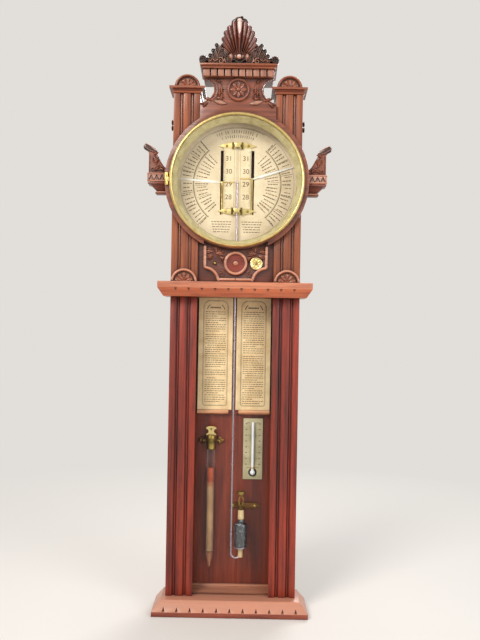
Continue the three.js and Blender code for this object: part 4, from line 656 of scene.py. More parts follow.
# Lines of words run out from the middle, in two rings either side, with a title over them in two arcs
text = Print(PAPER_FRONT)
for side in (0, 180):
    for row in range(-11, 12):
        angle = side + row * 4.4 + rng.uniform(-0.5, 0.5)
        start = 89.6 + rng.choice((0.0, 0.0, 2.5, 5.0))
        text.words(text.spoke, angle, start, rng.uniform(105, 112), rng.uniform(1.5, 2.3), (2.2, 8.0), 1.2)
    for row in range(-8, 9):
        angle = side + row * 5.6 + rng.uniform(-0.6, 0.6)
        near = 40.5 / max(0.3, abs(cos(radians(row * 5.6))))
        text.words(text.spoke, angle, max(near, rng.uniform(55, 62)), rng.uniform(79, 83.5),
                   rng.uniform(1.5, 2.2), (2.2, 7.0), 1.2)
for radius, half, height, step in ((104.0, 23, 7.6, 4.6), (94.5, 19, 6.2, 4.2)):
    angle = 90 + half
    while angle > 90 - half:
        stem = rng.uniform(0.9, 1.5)
        text.spoke(radius, height * rng.uniform(0.6, 1.0), stem, angle)
        angle -= to_degrees(step / radius) * (1.8 if rng.random() < 0.13 else 1.0)
for row in range(5):
    for side in (-1, 1):
        text.words(text.row, DIAL_Z - 75 - row * 5.0, side * 30 - 20 + row, side * 30 + 20 - row, 1.5,
                   (2.4, 7.0), 1.3)
text.piece("dial_words", print_brown, "paper")

SCALE_FACE = 30.6
THIRTY_INCHES = 24.0
INCH = 25.4
scale = Print(SCALE_FACE)
for side in (-1, 1):
    for tick in range(-29, 30):
        rise = THIRTY_INCHES + tick * INCH / 10
        long = 4.6 if tick % 5 == 0 else 2.6
        if -46 < rise < 66:
            scale.mark(side * (25.6 - long / 2), DIAL_Z + rise, long, 0.4)
    for x in (25.8, 6.2):
        scale.mark(side * x, DIAL_Z + 9, 113, 0.35, 90)
scale.piece("scale_ticks", rule_ink, "scale_card")

FIGURE_SIZE, FIGURE_HALF_T, FIGURE_SWELL = 13.5, 0.06, 0.08


def figure(number, x, z, name):
    """A plain number lying on the scale."""
    words = bpy.data.curves.new(name, "FONT")
    words.body = str(number)
    words.size = FIGURE_SIZE * MM
    words.extrude = FIGURE_HALF_T * MM
    words.offset = FIGURE_SWELL * MM
    words.align_x = "CENTER"
    words.align_y = "CENTER"
    flat = bpy.data.objects.new(name, words)
    flat.location = at(x, SCALE_FACE + FIGURE_HALF_T, z)
    flat.rotation_euler = (pi / 2, 0, 0)
    scene.collection.objects.link(flat)
    bpy.context.view_layer.update()
    mesh = bpy.data.meshes.new_from_object(flat.evaluated_get(bpy.context.evaluated_depsgraph_get()))
    mesh.transform(flat.matrix_world)
    bpy.data.objects.remove(flat)
    add_piece(name, mesh, print_brown)


for number in (31, 30, 29, 28):
    for side, tag in SIDES:
        figure(number, side * 17.0, DIAL_Z + THIRTY_INCHES + (number - 30) * INCH,
               "scale_%d_%s" % (number, tag))


def screw(shape, x, z, face, radius, degrees):
    """A slotted round head: two half domes with the slot between them."""
    c, s = cos(radians(degrees)), sin(radians(degrees))
    for side in (-1, 1):
        rings = []
        for share, lift in ((1.0, 0.0), (0.97, 0.35), (0.75, 0.75), (0.35, 0.98)):
            ring = []
            for j in range(13):
                a = pi * j / 12
                u = radius * share * cos(a)
                v = max(radius * share * sin(a), radius * 0.12) * side
                ring.append((x + u * c - v * s, face + lift * radius * 0.55, z + u * s + v * c))
            rings.append(ring)
        shape.rings(rings)


# The saddle of each tube clip: its screws, two cheeks with a bar between in dark brass as painted shade, and
# the bridge in bright brass as a painted highlight
SADDLE_BACK = 29.6
CLIP_TOP_RISE, CLIP_BOTTOM_RISE = 74.8, -54.2
clips, cheeks, bridge = Shape(), Shape(), Shape()
for rise, turns in ((CLIP_TOP_RISE, (30, -20)), (CLIP_BOTTOM_RISE, (75, 10))):
    z = DIAL_Z + rise
    for side, turn in zip((-1, 1), turns):
        screw(clips, side * 21.5, z, PAPER_FRONT + 0.3 + 2.3, 2.6, turn)
        cheeks.block(side * 9.4 - 1.7, side * 9.4 + 1.7, SADDLE_BACK, 34.6, z - 6.6, z + 6.6)
        for low, high in ((-6.0, -2.2), (2.2, 6.0)):
            bridge.block(side * 5.2 - 1.5, side * 5.2 + 1.5, SADDLE_BACK, 33.2, z + low, z + high)
        cheeks.plate(box_section(side * 6.3 - 1.7, side * 6.3 + 1.7, z - 2.2, z + 2.2), SADDLE_BACK, 34.0)
clips.piece("clip_screws", old_brass, "brass", 38)
cheeks.piece("clip_cheeks", dark_brass, "brass", 30, 0.25)
bridge.piece("clip_bridges", bright_brass, "brass", 30, 0.3)


# Carving

def bend(*points):
    """A smooth line through the given points."""
    pts = [points[0], *points, points[-1]]
    line = []
    for i in range(1, len(pts) - 2):
        p0, p1, p2, p3 = pts[i - 1:i + 3]
        for t in (k / 14 for k in range(14)):
            line.append(tuple(
                0.5 * (2 * p1[a] + (p2[a] - p0[a]) * t + (2 * p0[a] - 5 * p1[a] + 4 * p2[a] - p3[a]) * t ** 2
                       + (3 * p1[a] - p0[a] - 3 * p2[a] + p3[a]) * t ** 3) for a in (0, 1)))
    return [*line, points[-1]]


def spiral(x, z, outer, inner, start, turns, steps=30):
    """A scroll that winds in from outer to inner; turns is negative when it winds clockwise."""
    return [polar(x, z, outer + (inner - outer) * t ** 0.8, start + 360 * turns * t)
            for t in (i / steps for i in range(steps + 1))]


def straight(x0, z0, x1, z1, bow=0.0, steps=16):
    """A line from one point to another that bows to its right by a share of its length."""
    dx, dz = x1 - x0, z1 - z0
    return [(x0 + dx * t + dz * bow * sin(pi * t), z0 + dz * t - dx * bow * sin(pi * t))
            for t in (i / steps for i in range(steps + 1))]


def ray(x, z, length, heading, start=0.0, curl=0.0, steps=14):
    """A line that leaves x, z at an angle from upright, positive to the right, and may curl."""
    line = []
    angle = radians(heading)
    px, pz = x + start * sin(angle), z + start * cos(angle)
    for i in range(steps + 1):
        line.append((px, pz))
        turn = angle + radians(curl) * i / steps
        px += (length - start) / steps * sin(turn)
        pz += (length - start) / steps * cos(turn)
    return line


def pointed(full, peak=0.4, tip=0.0, root=0.3):
    """Widths along a leaf: narrow at its root, full at the peak, drawn out to its tip."""
    def width(t):
        if t < peak:
            return full * (root + (1 - root) * sin(pi / 2 * t / peak))
        return full * (tip + (1 - tip) * cos(pi / 2 * (t - peak) / (1 - peak)) ** 0.8)
    return width


def even(full, tip=1.0):
    return lambda t: full * (1 + (tip - 1) * t)


def taper(root, top, full):
    """A width that grows evenly from a root and closes round at its top."""
    def width(t):
        if t < full:
            return top * max(0.04, root + (1 - root) * t / full)
        return top * max(0.04, sqrt(max(0.0, 1 - ((t - full) / (1 - full)) ** 2)))
    return width


LOBES = 3


def leaves(shape, base, rise, *table):
    """Carved leaves on either side: a pinched blade with side lobes that sweep towards its tip.
    Each is given by its root, length, heading, curl and width."""
    for x, z, length, heading, curl, width in table:
        line = ray(x, z, length, heading, 0.0, curl)
        shape.both(line, pointed(width * 0.62), base, rise, 10, 0.25)
        for k in range(LOBES):
            i = int((0.22 + 0.25 * k) * (len(line) - 1))
            (px, pz), (qx, qz) = line[i:i + 2]
            size = width * (0.95 - 0.35 * k / LOBES)
            for turn in (-1, 1):
                lobe = ray(px, pz, size, to_degrees(atan2(qx - px, qz - pz)) + turn * 48, 0.0, -turn * 30, 8)
                shape.both(lobe, pointed(size * 0.46, 0.5, 0.05), base, rise * 0.8, 8, 0.2)


# The shell crest: each flute has its root across, its top across and up, and its full width
CREST_FACE = 36.0
SHELL_ROOT_Z = 1079.3
SHELL_MID = 43.0
FLUTES = (
    (0.0, 0.0, 1150.5, 15.0), (2.2, 11.4, 1147.0, 12.5), (4.4, 20.6, 1139.5, 12.0), (6.4, 27.6, 1129.5, 12.0),
    (8.4, 32.0, 1117.0, 12.2), (10.2, 33.8, 1104.0, 12.0), (11.4, 32.5, 1092.0, 9.5),
)
shell, ribs = Shape(), Shape()
for k, (root, x, z, width) in enumerate(FLUTES):
    line = straight(root, SHELL_ROOT_Z - 2, x, z, 0.02 if k else 0.0, 20)
    carve = shell.both if k else shell.relief
    carve(line, taper(0.2, width, 0.9), SHELL_MID, 7.6 - 0.4 * k, 14, 0.12)
    carve(line, taper(0.2, width, 0.9), SHELL_MID + 0.3, -6.5, 12)
    if k:
        ribs.both(line[3:-3], taper(0.5, 1.5, 0.9), SHELL_MID + 7.0 - 0.4 * k, 1.5, 8)
shell.piece("crest_shell", shell_wood)
ribs.piece("crest_shell_ribs", rib_wood)
# The crown of the middle flute is the palest oak: a painted highlight.
crown = Shape()
crown.relief(straight(0, 1118, 0, 1151), pointed(9.5, 0.72, 0.02, 0.3), SHELL_MID + 6.0, 3.6, 14)
crown.ball(0, SHELL_MID + 6.6, 1146.5, 4.6, 0.8, 20)
crown.piece("crest_shell_crown", pale_wood, "carved_oak", 60)
tip = Shape()
for x, z, heading, length, width in ((0, 1128, 0, 30.8, 23), (-3, 1130, -20, 25, 17), (3, 1130, 20, 26, 17)):
    lobe = ray(x, z, length, heading, 0.0, heading * -0.6)
    tip.relief(lobe, taper(0.3, width, 0.72), SHELL_MID - 5, 5.0, 14)
tip.relief(spiral(4.5, 1153.6, 3.6, 1.0, 160, -1.1), even(2.8, 0.6), SHELL_MID, 2.0)
tip.relief(straight(-9.5, 1143, -4.5, 1155.5, -0.12), pointed(3.0, 0.6, 0.2), SHELL_MID - 0.6, 2.2, 10)
tip.piece("crest_shell_tip", night_wood)

BOARD = (
    (71.8, 1050.3), (71.8, 1074.1), (60.8, 1069.9), (56.2, 1074.3), (50.7, 1084.1), (46, 1095), (40.6, 1096),
    (34.3, 1088.5), (30.4, 1100.4), (30.4, 1113.5), (22.6, 1129.9), (12.5, 1140.8),
)
board = Shape().plate([*BOARD, *flip(reversed(BOARD), -1)], CREST_FACE, CREST_FACE + 10)
board.piece("crest_board", night_wood, "carved_oak", 34, 0.8, replaces=("crest",))

# Each big leaf of the crest: its root across and up, its tip across and up, its bow and its width
LEAF_FACE = CREST_FACE + 9.0
LEAVES = (
    (36.0, 1055, 44.0, 1099.5, 0.10, 14.0), (26.0, 1055, 33.0, 1089.0, 0.12, 13.0),
    (43.5, 1055, 50.6, 1089.0, 0.10, 12.5), (50.0, 1055, 56.4, 1079.5, 0.10, 11.0),
    (55.0, 1055, 62.0, 1071.5, 0.12, 9.0), (18.0, 1055, 23.5, 1080.0, 0.12, 11.0),
)
acanthus, veins = Shape(), Shape()
for x0, z0, x1, z1, bow, width in LEAVES:
    line = straight(x0, z0, x1, z1, -bow, 20)
    acanthus.both(line, taper(0.55, width, 0.78), LEAF_FACE, 8.0, 14, -0.25)
    acanthus.both(spiral(x1 + 0.6, z1 - 2.6, 3.4, 0.8, 150, -1.15), even(3.2, 0.6), LEAF_FACE + 4.5, 4.2)
    for share, end in ((-0.26, 17), (0.02, 18), (0.28, 16)):
        vein = [(x + share * width * min(1, 0.5 + i / 24), z) for i, (x, z) in enumerate(line)]
        veins.both(vein[3:end], taper(0.5, 1.5, 0.85), LEAF_FACE + 6.1, 2.4, 8)
acanthus.piece("crest_acanthus", night_wood)
# The veins are pale oak: painted highlight.
veins.piece("crest_leaf_veins", highlight_wood)

SCROLL_X, SCROLL_Z = 70.4, 1068.8
scrolls, bulbs, curls = Shape(), Shape(), Shape()
for side in (-1, 1):
    scrolls.facing([(0.01, 36), (7.6, 36), (7.6, 53), (6.6, 54.5), (5.2, 54.5), (4.4, 53), (0.01, 53)],
                   side * SCROLL_X, SCROLL_Z, 40)
scrolls.both(spiral(SCROLL_X, SCROLL_Z, 6.2, 1.4, 120, 1.5), even(2.8, 0.6), 53.0, 2.4)
for k in range(4):
    scrolls.both(ray(SCROLL_X, SCROLL_Z, 10.4, -34 + k * 24), pointed(4.2, 0.7, 0.3), 46.0, 5.0, 10)
scrolls.both(bend((4.5, 1064), (10, 1069), (18, 1066), (24, 1060)), even(3.4, 0.6), LEAF_FACE + 3, 4.4)
bulbs.both(straight(14.0, 1068, 15.4, 1080.5, 0.1), pointed(8.6, 0.6, 0.3), LEAF_FACE + 3, 7.5, 16)
bulbs.both(straight(5.4, 1071, 7.4, 1078, 0.1), pointed(3.4, 0.6, 0.3), LEAF_FACE + 6, 5.0, 14)
curls.both(spiral(35.5, 1065.5, 6.4, 1.2, 60, 1.3), even(2.8, 0.6), LEAF_FACE + 7.6, 3.0)
curls.both(bend((41, 1069), (47, 1066), (52, 1069), (56, 1065)), even(2.4, 0.6), LEAF_FACE + 7.0, 2.6)
curls.both(straight(25, 1062, 28.5, 1071, 0.1), pointed(3.4, 0.6, 0.3), LEAF_FACE + 7.6, 2.4, 10)
# The curls and bulbs are pale oak: painted highlights on the dark crest.
curls.piece("crest_curls", highlight_wood)
scrolls.piece("crest_scrolls", night_wood)
bulbs.piece("crest_bulbs", highlight_wood, "carved_oak", 60)
Shape().ball(0, LEAF_FACE + 8, 1074.4, 4.8, 1.0, 20).piece("crest_bead", pale_wood, "carved_oak", 60)

# Frieze: leaves that follow the two scoops, the leaf with its vein under each, and the tendrils that leave it
FRIEZE_FACE = 68.4
FRIEZE_BASE = FRIEZE_FACE - 0.4
SCOOP_X, SCOOP_Z = 66.7, 1005.7
frieze, beds, eyes = Shape(), Shape(), Shape()
frieze.both(curve(SCOOP_X, SCOOP_Z, 22.2, 100, 262), even(2.6), FRIEZE_BASE, 2.4)
frieze.both(curve(SCOOP_X, SCOOP_Z, 27.5, 104, 246), even(1.8, 0.7), FRIEZE_BASE, 1.8)
# The bed under each eye leaf is painted dark as shade.
beds.both(straight(20, 977, 49, 984), pointed(13, 0.45, 0.1, 0.1), FRIEZE_BASE, 1.4)
eyes.both(straight(22, 978, 47, 983, 0.02), pointed(8.5, 0.5, 0.1, 0.1), FRIEZE_FACE, 3.0, 12, -0.3)
frieze.both(bend((47, 983), (56, 985), (63, 981), (69, 973)), even(2.4, 0.5), FRIEZE_BASE, 2.0)
leaves(frieze, FRIEZE_FACE - 0.2, 2.8,
       (54, 983, 13, 40, 60, 6), (58, 980, 14, 120, 30, 6), (62, 976, 12, 60, 60, 5),
       (34, 1012, 17, 195, -30, 8), (36, 1004, 15, 165, 40, 7), (33, 996, 14, 190, -40, 7),
       (30, 988, 13, 100, -40, 6), (36, 1016, 11, 10, 60, 6))
frieze.both(bend((33, 1021), (32, 1010), (30, 998), (27, 988)), even(2.2, 0.6), FRIEZE_BASE, 2.0)
frieze.piece("frieze_foliage", carved)
# The eye leaves are pale oak: painted highlight.
eyes.piece("frieze_eye_leaves", highlight_wood)
beds.piece("frieze_leaf_beds", carved_shade)

ROSETTE_Z = 1004.3
Shape().facing([
    (0.01, 68.7), (22, 68.7), (22, 71.4), (21.2, 73.0), (19.6, 73.7), (18.0, 73.0), (17.0, 71.4),
    (16.6, 70.4), (0.01, 70.4)], 0, ROSETTE_Z, 72).piece(
    "rosette_ring", carved, "carved_oak", 40, replaces=("frieze_rosette",))
# The bed behind the petals is a thin dark disc of painted shade.
Shape().facing(box_section(0.01, 16.4, 70.3, 70.7), 0, ROSETTE_Z, 48).piece(
    "rosette_bed", carved_shade)
petals = Shape()
for k in range(8):
    petals.relief(ray(0, ROSETTE_Z, 16.2, k * 45, 3.2), pointed(8.0, 0.55, 0.1), 70.4, 3.0, 12, -0.35)
    petals.relief(ray(0, ROSETTE_Z, 14.5, k * 45 + 22.5, 7.0), pointed(3.4, 0.5, 0.1), 70.4, 1.6, 8, 0.3)
petals.ball(0, 71.6, ROSETTE_Z, 3.9, 0.8, 18)
petals.piece("rosette_petals", carved)

# Post caps and feet: petals and a rim on each lunette; the feet's rims are pale oak, a painted highlight
POST_X = 99.25
CAP_TOP = 1012.0
HEAD_BASE = 633.8
LUNETTE_SINK = 4.0
PETALS = 5


def lunette_dressing(tag, x, z, radius, face, rim):
    bed = face - LUNETTE_SINK
    Shape().relief(curve(x, z, radius - 2.8, 4, 177), even(4.6), face - 1.6, 2.3).piece(
        "lunette_rim_" + tag, rim, "oak")
    # A raised dark strip stands for the groove: painted shade.
    Shape().relief(curve(x, z, radius - 6.3, 4, 177), even(2.2), bed - 0.2, 1.2).piece(
        "lunette_groove_" + tag, night_wood, "oak")
    inside = Shape()
    for k in range(PETALS):
        heading = (k + 0.5) * 180 / PETALS - 90
        inside.relief(ray(x, z, radius * 0.68, heading, radius * 0.2), pointed(radius * 0.34, 0.6, 0.15), bed,
                      LUNETTE_SINK * 0.95, 12, -0.3)
    for k in range(1, PETALS):
        inside.relief(ray(x, z, radius * 0.64, k * 180 / PETALS - 90, radius * 0.35),
                      pointed(radius * 0.12, 0.6, 0.2), bed, LUNETTE_SINK * 0.5, 8, 0.3)
    inside.plate(curve(x, z, radius * 0.17, 0, 181, 15), bed, face - LUNETTE_SINK * 0.2)
    inside.piece("lunette_petals_" + tag, oak_level, "oak")


for side, tag in SIDES:
    lunette_dressing("cap_" + tag, side * POST_X, CAP_TOP, 25.0, 62.0, oak_level)
    lunette_dressing("foot_" + tag, side * POST_X, HEAD_BASE, 25.7, 71.0, rim_wood)

# Wings: low carving inside the panel, the leaf at its tip, and a framed band of points along the ledge
WING_FACE = 43.6
BAND_FACE = 54.4
wings, tips, edges = Shape(), Shape(), Shape()
points, beds, frames = Shape(), Shape(), Shape()
wings.both([(171.8, 846), (171.8, 866), (171.8, 884)], even(2.0, 0.9), WING_FACE, 1.8)
wings.both(bend((140.5, 856), (147, 864), (153.5, 876), (160, 886), (166.5, 892)), even(2.0, 0.9),
           WING_FACE, 1.8)
wings.both(spiral(163.6, 872.5, 5.6, 1.2, 60, 1.4), even(2.8, 0.6), WING_FACE, 2.4)
wings.both(spiral(153.5, 857.0, 5.6, 1.2, 100, -1.4), even(2.8, 0.6), WING_FACE, 2.4)
wings.both(spiral(165.5, 854.5, 4.4, 1.2, 200, 1.3), even(2.4, 0.6), WING_FACE, 2.2)
leaves(wings, WING_FACE, 2.6,
       (158, 862, 20, 8, 26, 8), (160, 850, 14, -20, -50, 7), (164, 881, 11, -30, -30, 7),
       (145, 850, 11, 20, 50, 7), (160, 866, 13, -30, 40, 7))
tips.both(straight(159.5, 888.0, 183.6, 902.0, 0.04), taper(0.5, 12.5, 0.72), 42.6, 3.6, 16, -0.2)
edges.both(straight(160.0, 893.6, 181.0, 905.2, -0.02), even(1.7, 0.8), 44.2, 2.0)
edges.both(straight(165.0, 888.6, 182.0, 899.2, 0.06), even(1.3, 0.7), 44.2, 1.6)
for x in (146.2, 156.6, 167.0):
    for reach in (-4.1, 4.1):
        points.both([(x + reach, 832.4), (x, 841.8)], even(2.0, 0.9), BAND_FACE - 0.1, 1.3)
    points.both([(x, 832.2), (x, 837.2)], pointed(2.8, 0.5, 0.4), BAND_FACE - 0.1, 1.3, 8)
for side in (-1, 1):
    beds.block(*sorted((side * 138.6, side * 174.6)), 53.2, BAND_FACE, 830.0, 844.4)
for z in (830.2, 844.2):
    frames.both([(138.6, z), (174.8, z)], even(2.8), BAND_FACE - 0.6, 2.0)
frames.both([(173.4, 829.6), (173.4, 844.8)], even(2.4), BAND_FACE - 0.6, 2.0)
frames.both([(139, 809.6), (157, 809.6)], even(2.8), 46.0, 1.8)
wings.piece("wing_foliage", carved)
tips.piece("wing_tips", night_wood)
points.piece("wing_points", night_wood, "carved_oak", 30)
# The ledge band is pale oak: painted highlight.
beds.piece("wing_ledge_beds", band_wood, "carved_oak", 30, 0.3)
# The ledge frames and the wing edges are pale oak: painted highlight on raised edges.
frames.piece("wing_ledge_frames", rim_wood)
edges.piece("wing_edges", rim_wood)

# Two small turned bosses, one over the other, on the outer side of each upper post
bosses = Shape()
for side in (-1, 1):
    for z in (938.0, 949.0):
        bosses.rings([
            [(side * (125 + reach), 34 + radius * cos(a), z + radius * 1.1 * sin(a))
             for a in (2 * pi * j / 20 for j in range(20))]
            for reach, radius in ((-1.0, 4.8), (1.8, 4.8), (2.6, 3.8), (4.4, 5.0), (5.8, 4.0), (6.4, 0.4))])
bosses.piece("post_bosses", night_wood)

# Apron: vine leaves either side of the roundel, inside a border of pale oak, a painted highlight
APRON_FACE = 57.5
apron = Shape()
leaves(apron, APRON_FACE, 2.8,
       (39, 689, 15, -70, -40, 11), (38, 691, 15, -10, 40, 11), (45, 692, 14, 60, 50, 10),
       (44, 687, 12, 120, 20, 9), (30, 684, 12, -130, -30, 8))
apron.both(bend((22, 664), (27, 676), (36, 687), (46, 694), (55, 694)), even(2.0, 0.6), APRON_FACE, 1.8)
apron.both(spiral(27, 650, 6.5, 1.5, 80, 1.3), even(2.4, 0.6), APRON_FACE, 1.8)
apron.piece("apron_foliage", carved)
Shape().facing([
    (0.01, 57.8), (23.3, 57.8), (23.3, 60.4), (22.6, 62.2), (21.2, 63.0), (19.6, 62.8), (18.2, 61.6),
    (17.2, 60.2), (14, 59.6), (8.4, 59.9), (5.2, 60.2), (0.01, 60.2)], 0, SPINDLE_Z, 72).piece(
    "roundel_dish", dish_wood, "carved_oak", 40, replaces=("apron_roundel",))
# The roundel's rim and button are pale oak: painted highlight.
Shape().facing([(17.9, 61.6), (22.7, 61.6), (22.7, 62.6), (21.6, 63.6), (19.2, 63.6), (17.9, 62.6)],
               0, SPINDLE_Z, 72).piece("roundel_rim", rim_wood)
Shape().ball(0, 60.4, SPINDLE_Z, 4.6, 0.6, 24).piece("roundel_button", rim_wood)

border = Shape()
border.both([(59.5, 704), (59.5, 664), *curve(61.3, HEAD_BASE, 28.75, 97, 177, 5), (30, 639.6),
             (0.5, 639.6)], even(5.6), 60.3, 2.4)
border.piece("apron_border_highlight", rim_wood)

# Setting knob: stamped petals and a beaded rim on its face
KNOB_X = 40
knob = Shape().facing([
    (2.5, 58.1), (5.2, 58.1), (5.2, 60.5), (11.6, 60.5), (12, 61.0), (12, 61.9), (11.5, 62.4), (10.2, 62.5),
    (9.4, 62.0), (3.4, 62.0), (2.5, 62.0)], KNOB_X, SPINDLE_Z, 64)
for k in range(8):
    knob.relief(ray(KNOB_X, SPINDLE_Z, 9.4, k * 45, 3.4), pointed(3.6, 0.55, 0.2), 61.9, 0.8, 8)
for x, z in curve(KNOB_X, SPINDLE_Z, 10.8, 0, 360, 15):
    knob.ball(x, 62.4, z, 0.7, 0.7, 8)
knob.piece("setting_knob", bright_brass, "brass", 45, replaces=("setting_knob_right",), body="right_spindle")

# Siphon tube, bottle cistern and mercury
LIMB_X, TUBE_D = LIMB = 18.5, 34.0
BEND_R = LIMB_X / 2
BEND_Z = 104


def siphon_line(top, end):
    """Down the long limb from its top, round the bend and up the short limb to its end."""
    return [(0, top), (0, top - 1.5), (0, BEND_Z), *curve(BEND_R, BEND_Z, -BEND_R, 6, 175, 8),
            (LIMB_X, BEND_Z), (LIMB_X, end)]


def turned_piece(name, material, slot, axis, profile, segments=48, replaces=()):
    Shape().turned(profile, *axis, segments).piece(name, material, slot, replaces=replaces)


Shape().pipe(siphon_line(911.9, 114.0), TUBE_D, lambda t: 2.75 if t > 0.001 else 1.2).piece(
    "siphon_glass", tube_glass, "glass", replaces=("barometer_tube",))
turned_piece("cistern_bottle", bottle_glass, "glass", LIMB, [
    (0.01, 113.5), (7.5, 113.5), (10.6, 114.3), (12.4, 116.2), (13.3, 119), (13.3, 158), (12.9, 161.2),
    (11.4, 163.6), (8.6, 165.4), (6.9, 166.8), (6.2, 168.4), (6.2, 170.4), (5.6, 171), (0.01, 171)])
quick = Shape().pipe(siphon_line(836, 118.5), TUBE_D, 1.55, 14)
quick.turned([
    (0.01, 115.4), (7.0, 115.4), (10.0, 116.4), (11.4, 119), (11.4, 136.6), (11.0, 137.2), (0.01, 138.2)],
    *LIMB)
quick.piece("mercury_column", mercury, "mercury", replaces=("mercury",))
turned_piece("bottle_foot_ring", mercury, "glass", LIMB, [
    (11.2, 114.6), (12.2, 114.8), (12.8, 116.2), (12.6, 117.6), (12.0, 118.2), (11.4, 118.0)])
turned_piece("limb_cork", cork, "cork", LIMB, [
    (2.85, 96.5), (4.2, 96.5), (4.7, 98), (4.4, 112.8), (2.85, 112.8)], 32)
turned_piece("stopper_cork", cork, "cork", LIMB, [
    (0.01, 167.3), (4.3, 167.3), (4.3, 171.3), (6.1, 171.3), (6.2, 172.0), (5.8, 188.6), (5.4, 189.1),
    (0.01, 189.1)], 40, ("cistern_stopper",))
finish("cistern_bracket", bronze, 0.2)
finish("cistern_cap", olive_brass, 0.0, 50)

# The screws of the cistern's bracket, then those of the storm glass clamp, on plates of the same depth
FITTING_FRONT = 12.3
fixings = Shape()
for x, z, radius, turn in ((2.5, 192, 2.4, 25), (46, 192, 2.4, 70), (-58, 321, 1.9, 15), (-28, 321, 1.9, 60)):
    screw(fixings, x, z, FITTING_FRONT, radius, turn)
fixings.piece("bracket_screws", brass, "brass", 38)

# Storm glass
STORM_X, STORM_D = STORM = -43.0, 22.0
CAP_Z = 333.0
CLAMP_Z = 321.0
CLAMP_BACK, CLAMP_T = 10.2, 2.3
CLAMP_FRONT = CLAMP_BACK + CLAMP_T
turned_piece("storm_vial", tube_glass, "glass", STORM, [
    (0.01, 70), (1.0, 71), (3.2, 80), (6.0, 92), (7.5, 98.6), (8, 102.5), (8, 328.4), (7.4, 329),
    (0.01, 329)], 48, ("storm_glass",))
turned_piece("storm_crystals", sediment, "liquid", STORM, [
    (0.01, 103.5), (6.5, 104.4), (6.5, 232), (0.01, 232)], 40, ("storm_liquid",))
turned_piece("storm_haze", haze, "liquid", STORM, box_section(0.01, 6.5, 232.1, 240.9), 40)
turned_piece("storm_spirit", spirit, "liquid", STORM, [
    (0.01, 241), (6.5, 241), (6.5, 268.4), (6.1, 268.7), (0.01, 268.2)], 40)
turned_piece("storm_toe", haze, "liquid", STORM, [
    (0.01, 72.4), (1.8, 76), (4.0, 86), (6.2, 97), (6.9, 102.8), (0.01, 102.8)], 32)
turned_piece("storm_cap", olive_brass, "brass", STORM, [
    (0.01, 329.2), (8.2, 329.2), (8.2, 306.2), (8.7, 306), (9.1, 307.4), (8.8, 309), (9.1, 318), (9.5, 325.4),
    (10.2, 326.4), (10.2, 328.2), (9.6, 329.2), (9.8, 331.4), (8.8, CAP_Z), (0.01, CAP_Z)],
    40, ("storm_clamp",))
clamp = Shape()
clamp.block(STORM_X - 4.2, STORM_X + 4.2, CLAMP_BACK, STORM_D - 8.4, 316.8, 325.2)
clamp.block(STORM_X - 21, STORM_X + 21, CLAMP_BACK, CLAMP_FRONT, CLAMP_Z - 2, CLAMP_Z + 2)
for side in (-1, 1):
    for reach, lift in ((22.2, 0.0), (16.7, 4.2), (16.7, -4.2)):
        clamp.facing([
            (0.01, CLAMP_BACK), (4.2, CLAMP_BACK), (4.3, CLAMP_BACK + CLAMP_T * 0.6), (3.4, CLAMP_FRONT),
            (0.01, CLAMP_FRONT + 0.5)], STORM_X + side * reach, CLAMP_Z + lift, 28)
clamp.piece("storm_clamp_leaves", bronze, "brass")

# A flat crown with a round notch in each side stands on the cap
half = [(9.6, 0.0), (10.0, 1.6), *curve(10.4, 7.4, 5.0, 260, 99, -16), (10.6, 13.2), (10.0, 14.6),
        (7.6, 16.2), (4.0, 17.3)]
crown = [*half, (0, 17.6), *flip(reversed(half), -1)]
Shape().plate([(STORM_X + x, CAP_Z + z) for x, z in crown], STORM_D - 1.6, STORM_D + 1.6).piece(
    "storm_finial", bright_brass, "brass", 40, 0.5)
# A thin dark plate of painted shade stands for the piercing in the crown.
piercing = ((-2.2, 13.4), (2.2, 13.4), (0, 9.8))
Shape().plate([(STORM_X + x, CAP_Z + z) for x, z in piercing], STORM_D + 1.2, STORM_D + 1.9).piece(
    "storm_finial_piercing", shade, "brass")

# Thermometer
THERMO_X, THERMO_Z, THERMO_FACE = 40.0, 245.0, 12.8
BULB_Z = THERMO_Z + 14
STRAP_Z = THERMO_Z + 23.5
STEM_D = 15.8
finish("thermometer_plate", ivory, 0.15)
marks = Print(THERMO_FACE)
for side in (-1, 1):
    for k in range(36):
        z = THERMO_Z + 30 + k * 2.3
        long = 3.0 if k % 5 else 5.2
        marks.mark(THERMO_X + side * (4.0 + long / 2), z, long, 0.5)
        if k % 5 == 0:
            marks.mark(THERMO_X + side * 13.2, z, 3.6, 1.9)
    for rise in (112.5, 23.0):
        marks.mark(THERMO_X + side * 9, THERMO_Z + rise, 7, 1.0)
marks.piece("thermometer_marks", faint_ink, "ivory")
stem = Shape().ball(THERMO_X, 16.4, BULB_Z, 5.0, 1.0, 24)
stem.pipe([(THERMO_X, z) for z in (BULB_Z, THERMO_Z + 60, THERMO_Z + 113.6, THERMO_Z + 114.4)], STEM_D,
          lambda t: 2.7 if t < 0.9 else 1.4, 16)
stem.piece("thermometer_stem", opal, "glass", replaces=("thermometer_tube",))
Shape().facing([
    (0.01, THERMO_FACE), (8.6, THERMO_FACE), (8.2, THERMO_FACE + 0.4), (0.01, THERMO_FACE + 0.4)],
    THERMO_X, BULB_Z, 40).piece("thermometer_well", shade, "ivory")
strap = Shape().block(THERMO_X - 6.4, THERMO_X + 6.4, 12.85, 13.5, STRAP_Z - 1.1, STRAP_Z + 1.1)
strap.rings([[(x, d, z) for x, d in curve(THERMO_X, STEM_D, 3.2, 0, 360, 24)]
             for z in (STRAP_Z - 1, STRAP_Z + 1)])
for side in (-1, 1):
    strap.ball(THERMO_X + side * 5.2, 13.5, STRAP_Z, 0.9, 0.7, 10)
strap.piece("thermometer_strap", brass, "brass", 38)

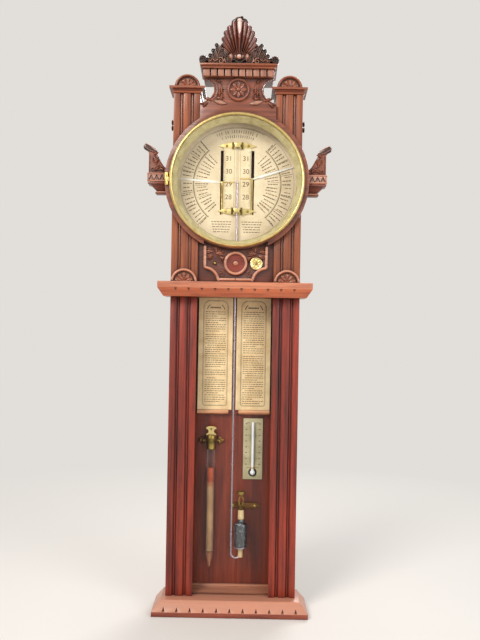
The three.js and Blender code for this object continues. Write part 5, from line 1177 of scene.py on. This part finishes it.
# Printed cards: a double rule with round corners, a title of strokes under two short arcs, and lines of words
CARD_X, CARD_FACE = 37.8, 17.2
CARD_HALF, CARD_LOW, CARD_HIGH = 24.5, 391.0, 600.0
SIDE_RULE_TOP = CARD_HIGH - 10
CORNER, SHOULDER = 5, 13
TEXT_TOP, TEXT_LOW, TEXT_HALF = 577.5, 396, 20.5
RAIL_Z = 378.8
for side, tag in SIDES:
    finish("card_" + tag, card, 0.0)
    middle = side * CARD_X
    rules = Print(CARD_FACE)
    for inset, width in ((0.0, 0.7), (1.6, 0.3)):
        half = CARD_HALF - inset
        low = CARD_LOW + inset
        foot = low + CORNER
        top = SHOULDER - inset
        for edge in (-1, 1):
            rules.mark(middle + edge * half, (foot + SIDE_RULE_TOP) / 2, SIDE_RULE_TOP - foot, width, 90)
            rules.arc(CORNER, width, 225 + edge * 45, 90, middle + edge * (half - CORNER), foot, 12)
            rules.arc(top, width, 45 - edge * 45, 90, middle + edge * (half - top), CARD_HIGH - SHOULDER, 16)
        rules.mark(middle, low, 2 * half - 2 * CORNER, width)
        rules.mark(middle, CARD_HIGH - inset, 2 * half - 2 * SHOULDER, width)
    rules.arc(15, 1.5, 128, 40, middle - 2.5, 579.5, 14)
    rules.arc(15, 1.5, 12, 40, middle + 2.5, 579.5, 14)
    run = middle - 11
    while run < middle + 9:
        length = rng.uniform(1.5, 2.8)
        rules.mark(run + length / 2, 586, length, rng.uniform(2.4, 3.4))
        run += length + 0.6
    rules.piece("card_%s_frame" % tag, ink if side > 0 else card_ink, "card")
    text = Print(CARD_FACE)
    z = TEXT_TOP
    while z > TEXT_LOW:
        start = middle - TEXT_HALF + (4.5 if rng.random() < 0.14 else 0)
        end = middle + TEXT_HALF - (rng.uniform(6, 22) if rng.random() < 0.16 else 0)
        text.words(text.row, z, start, end, 1.25, (1.8, 6.2), 1.2)
        z -= 4.25 if rng.random() > 0.07 else 7.0
    text.piece("card_%s_text" % tag, card_ink, "card")
    # The rail is pale oak: a painted highlight along the bead.
    Shape().pipe([(side * x, RAIL_Z) for x in (10.2, 40, 71.6)], 18.4, 4.25, 20).piece(
        "card_%s_rail_worn" % tag, rail_wood, "back_oak")
